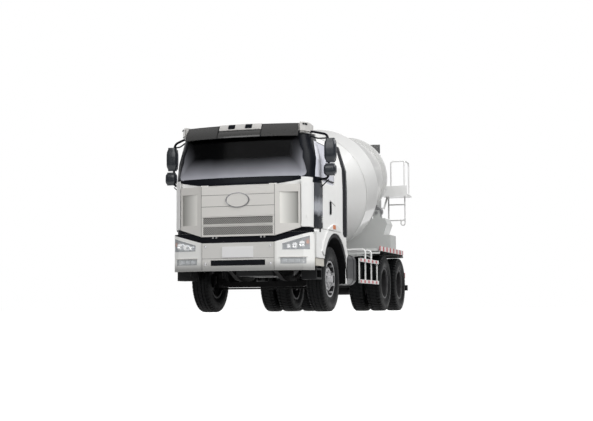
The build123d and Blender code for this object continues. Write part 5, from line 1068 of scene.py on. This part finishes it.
plate = [((-0.265, -0.008, 0.872), (0.265, -0.0005, 1.046))]
boxes("blank_plate", plate, "plate", "chassis", (1,), bevel=0.003)
build = Build()
for x, z in STUDS:
    build.lathe([(0.0, 0.020), (0.006, 0.020), (0.009, 0.012), (0.009, 0.0)], (x, at(0.0), z), (0, -1, 0), 16)
build.make("bumper_studs", "steel", "chassis", smooth=40)
slot = [((-0.452, -0.001, 0.749), (0.452, 0.022, 0.827))]
boxes("bumper_slot", slot, "black", "chassis", (1,))


def seams(name, uprights, levels, z, half, body):
    """Thin lines of painted shade in the gaps and creases of the flat front: uprights at x places, levels at
    heights.
    """
    lines = [((x - 0.003, -0.0015, z[0]), (x + 0.003, 0.006, z[1])) for x in uprights]
    lines += [((-half, -0.0015, low), (half, 0.004, high)) for low, high in levels]
    boxes(name, lines, "shadow", body, (1,))


seams("bumper_seam_shade", (-0.611, 0.611), ((0.858, 0.862),), (0.664, 1.106), 0.608, "chassis")
rows = [(z - 0.003, z + 0.003) for z in (1.693, 1.878)]
seams("lid_seam_shade", (-0.622, 0.622), rows, (1.214, 2.018), 0.620, "lid")

# Tape on guards and fenders, undersides of the fenders, trims of the entry steps
tapes = [((1.2245, 3.11, z), (1.2265, 4.53, z + 0.050)) for z in (0.518, 0.906)]
tapes.append(((1.2295, 4.60, 1.168), (1.2315, 6.76, 1.258)))
boxes("side_tape", tapes, "tape", "chassis")
under = [((0.625, 4.62, 1.148), (1.221, 6.74, 1.163))]
boxes("fender_undersides", under, "dark", "chassis", bevel=0.003)
trims = [((1.100, 0.31, 0.730), (1.205, 0.775, 0.858))]
boxes("step_trims", trims, "beige", BODY_OF["entry_steps"], bevel=0.006)

# Seats: each cushion, back and headrest is its own padded piece on a plastic pan
SEAT_X = 0.64
CHANNELS = (-0.42, 0.42)       # sewn lines, in half widths from the middle
PAD_TURNS, PAD_LEVELS = 56, 14


def pad_edge(angle):
    """Outline of a cushion in half sizes: square with round corners, its sides drawn in a little."""
    c, s = cos(angle), sin(angle)
    reach = (abs(c) ** 5 + abs(s) ** 5) ** (-0.2)
    pull = 1.0 - 0.045 * cos(2 * angle) ** 2
    return c * reach * pull, s * reach * pull


def pad_height(a, share, sign, channels):
    """Height of the cover in half thicknesses, at a share of the way out to the edge."""
    crown = (1.0 - share**3.2) ** 0.55 if share < 1.0 else 0.0
    if sign < 0:
        return -(crown**0.6) * 0.72
    groove = sum(0.16 * exp(-(((a - place) / 0.035) ** 2)) for place in channels)
    groove += 0.10 * exp(-(((share - 0.82) / 0.035) ** 2))
    return crown * (1.0 - groove)


def pad(name, centre, along, up, size, channels):
    """Crowned cushion with piping; size gives half width, half length and half height."""
    half_a, half_b, half_h = size
    centre, across, along, up = Vector(centre), Vector((1, 0, 0)), along.normalized(), up.normalized()
    outline = [pad_edge(2 * pi * i / PAD_TURNS) for i in range(PAD_TURNS + 1)]
    levels = [1.0 - (k / PAD_LEVELS) ** 1.35 for k in range(PAD_LEVELS + 1)]
    rings = []
    for sign, order in ((-1, levels[-2::-1]), (1, levels[1:-1])):
        for share in order:
            ring = []
            for a, b in outline[:-1]:
                a, b = a * share, b * share
                lift = pad_height(a, share, sign, channels) * half_h
                ring.append(centre + across * (a * half_a) + along * (b * half_b) + up * lift)
            rings.append(ring)
    build = Build()
    build.rings(rings)
    made = build.make(name, "fabric", "cab", smooth=60)
    piping = Build()
    line = [centre + across * (a * half_a * 1.004) + along * (b * half_b * 1.004) for a, b in outline]
    piping.tube(line, 0.0045, sides=6)
    piping.make(name + "_piping", "rubber", "cab", smooth=60)
    return made


first_pad = None
flat, rise = Vector((0, 1, 0.05)), Vector((0, -0.05, 1))
lean, facing = Vector((0.0, 0.095, 0.805)), Vector((0.0, -0.805, 0.095))
for side, hand in HANDS:
    x = side * SEAT_X
    made = pad("seat_cushion_" + hand, (x, at(1.06), 1.672), flat, rise, (0.255, 0.265, 0.068), CHANNELS)
    first_pad = first_pad or made
    pad("seat_back_" + hand, (x, at(1.352), 1.965), lean, facing, (0.245, 0.300, 0.066), CHANNELS)
    pad("seat_headrest_" + hand, (x, at(1.405), 2.360), lean, facing, (0.130, 0.085, 0.052), ())
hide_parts("seats")
back_shell = [(at(y), z) for y, z in ((1.372, 1.620), (1.400, 1.620), (1.462, 2.240), (1.434, 2.240))]
build = Build()
for side in (1, -1):
    x = side * SEAT_X
    build.box((x - 0.15, at(0.92), 1.334), (x + 0.15, at(1.22), 1.600))
    build.box((x - 0.235, at(0.80), 1.592), (x + 0.235, at(1.33), 1.626))
    build.plate(back_shell, 0, x - 0.215, x + 0.215)
    for post in (-0.05, 0.05):
        build.tube([(x + post, at(1.418), 2.20), (x + post, at(1.435), 2.36)], 0.007, sides=8)
build.make("seat_shells", "seat_shell", "cab", bevel=0.012)

# Drum seams: place along the axis from the drum's middle, radius
DRUM_AT = Vector((0.0, at(5.0), 2.483))
DRUM_WAY = Vector((0.0, cos(radians(12)), sin(radians(12))))
WELD = ((-0.012, -0.002), (-0.008, 0.004), (0.008, 0.004), (0.012, -0.002))
build = Build()
for s, r in ((-1.2, 1.180), (-0.300, 1.180), (1.500, 0.868)):
    build.lathe([(s + along, r + out) for along, out in WELD], DRUM_AT, DRUM_WAY, 96)
build.make("drum_welds", "drum", "drum", smooth=60)

# Floor, background and light


def any_of(tree, path):
    """1 for a ray that the camera sees, straight, mirrored or through glass."""
    first = math_node(tree, "MAXIMUM", path.outputs["Is Camera Ray"], path.outputs["Is Glossy Ray"])
    return math_node(tree, "MAXIMUM", first, path.outputs["Is Transmission Ray"])


FLOOR = 60.0
floor_mesh = bpy.data.meshes.new("floor")
floor_corners = [(-FLOOR, -FLOOR, 0), (FLOOR, -FLOOR, 0), (FLOOR, FLOOR, 0), (-FLOOR, FLOOR, 0)]
floor_mesh.from_pydata(floor_corners, [], [(0, 1, 2, 3)])
floor = placed("floor", floor_mesh)
ground = bpy.data.materials.new("floor_white")
ground.use_nodes = True
tree = ground.node_tree
tree.nodes.clear()
ground_out = tree.nodes.new("ShaderNodeOutputMaterial")
lit = node_with(tree, "ShaderNodeBsdfDiffuse", {"Color": (0.72, 0.72, 0.72, 1.0)})
bounce = node_with(tree, "ShaderNodeBsdfDiffuse", {"Color": (0.15, 0.15, 0.15, 1.0)})
plain = node_with(tree, "ShaderNodeEmission", {"Strength": 0.66})
seen = tree.nodes.new("ShaderNodeLightPath")
both = tree.nodes.new("ShaderNodeAddShader")
choose = tree.nodes.new("ShaderNodeMixShader")
link(tree, lit.outputs[0], both.inputs[0])
link(tree, plain.outputs[0], both.inputs[1])
link(tree, any_of(tree, seen), choose.inputs[0])
link(tree, bounce.outputs[0], choose.inputs[1])
link(tree, both.outputs[0], choose.inputs[2])
link(tree, choose.outputs[0], ground_out.inputs[0])
floor_mesh.materials.append(ground)

# The camera sees plain white; everything else is lit by a sky that is brighter overhead
world = bpy.data.worlds.new("studio")
bpy.context.scene.world = world
world.use_nodes = True
sky = world.node_tree
sky.nodes.clear()
sky_out = sky.nodes.new("ShaderNodeOutputWorld")
glow = node_with(sky, "ShaderNodeBackground", {"Strength": 1.0})
_, _, up = parts_of(sky, sky.nodes.new("ShaderNodeTexCoord").outputs["Generated"])
overhead = span(sky, up, 0.0, 1.0, 0.0, 1.0)
link(sky, blend(sky, overhead, (0.22, 0.22, 0.22), (0.95, 0.95, 0.95)), glow.inputs["Color"])
white = {"Strength": 1.0, "Color": (1.0, 1.0, 1.0, 1.0)}
white_back = node_with(sky, "ShaderNodeBackground", white)
sky_mix = sky.nodes.new("ShaderNodeMixShader")
link(sky, sky.nodes.new("ShaderNodeLightPath").outputs["Is Camera Ray"], sky_mix.inputs[0])
link(sky, glow.outputs[0], sky_mix.inputs[1])
link(sky, white_back.outputs[0], sky_mix.inputs[2])
link(sky, sky_mix.outputs[0], sky_out.inputs[0])


def lamp(name, place, target, size, power):
    """Area light that faces a target; size is in metres, power in watts."""
    data = bpy.data.lights.new(name, "AREA")
    data.shape = "RECTANGLE"
    data.size, data.size_y = size
    data.energy = power
    made = placed(name, data)
    made.location = place
    made.rotation_mode = "QUATERNION"
    made.rotation_quaternion = (Vector(target) - Vector(place)).to_track_quat("-Z", "Y")


lamp("key", (9.5, -6.5, 9.0), (0.5, 0.0, 1.5), (7.0, 7.0), 1180.0)
lamp("front", (-2.0, -16.0, 7.0), (0.0, -3.0, 1.6), (9.0, 5.0), 500.0)
lamp("rear", (8.0, 9.0, 9.0), (0.0, 1.0, 1.5), (7.0, 5.0), 330.0)
lamp("fill", (-11.0, 3.0, 6.0), (0.0, 0.0, 1.5), (7.0, 5.0), 220.0)

# Camera fitted to the photograph: place, yaw, pitch and roll in radians, focal length in pixels
CAMERA_AT = Vector((6.336, -21.671, 0.0533))
YAW, PITCH, ROLL = 0.30336, 0.08549, -0.00695
FOCAL, WIDTH = 1146.1, 593.0
SENSOR = 36.0                  # millimetres
ahead = Vector((-sin(YAW) * cos(PITCH), cos(YAW) * cos(PITCH), sin(PITCH)))
right = Vector((cos(YAW), sin(YAW), 0.0))
upward = right.cross(ahead)
right, upward = right * cos(ROLL) + upward * sin(ROLL), upward * cos(ROLL) - right * sin(ROLL)
camera_data = bpy.data.cameras.new("camera")
camera_data.sensor_width = SENSOR
camera_data.lens = FOCAL * SENSOR / WIDTH
camera_data.clip_end = 300.0
camera = placed("camera", camera_data)
turn = Matrix((right, upward, -ahead)).transposed().to_4x4()
camera.matrix_world = Matrix.Translation(CAMERA_AT) @ turn
bpy.context.scene.camera = camera
bpy.context.scene.view_settings.view_transform = "Standard"
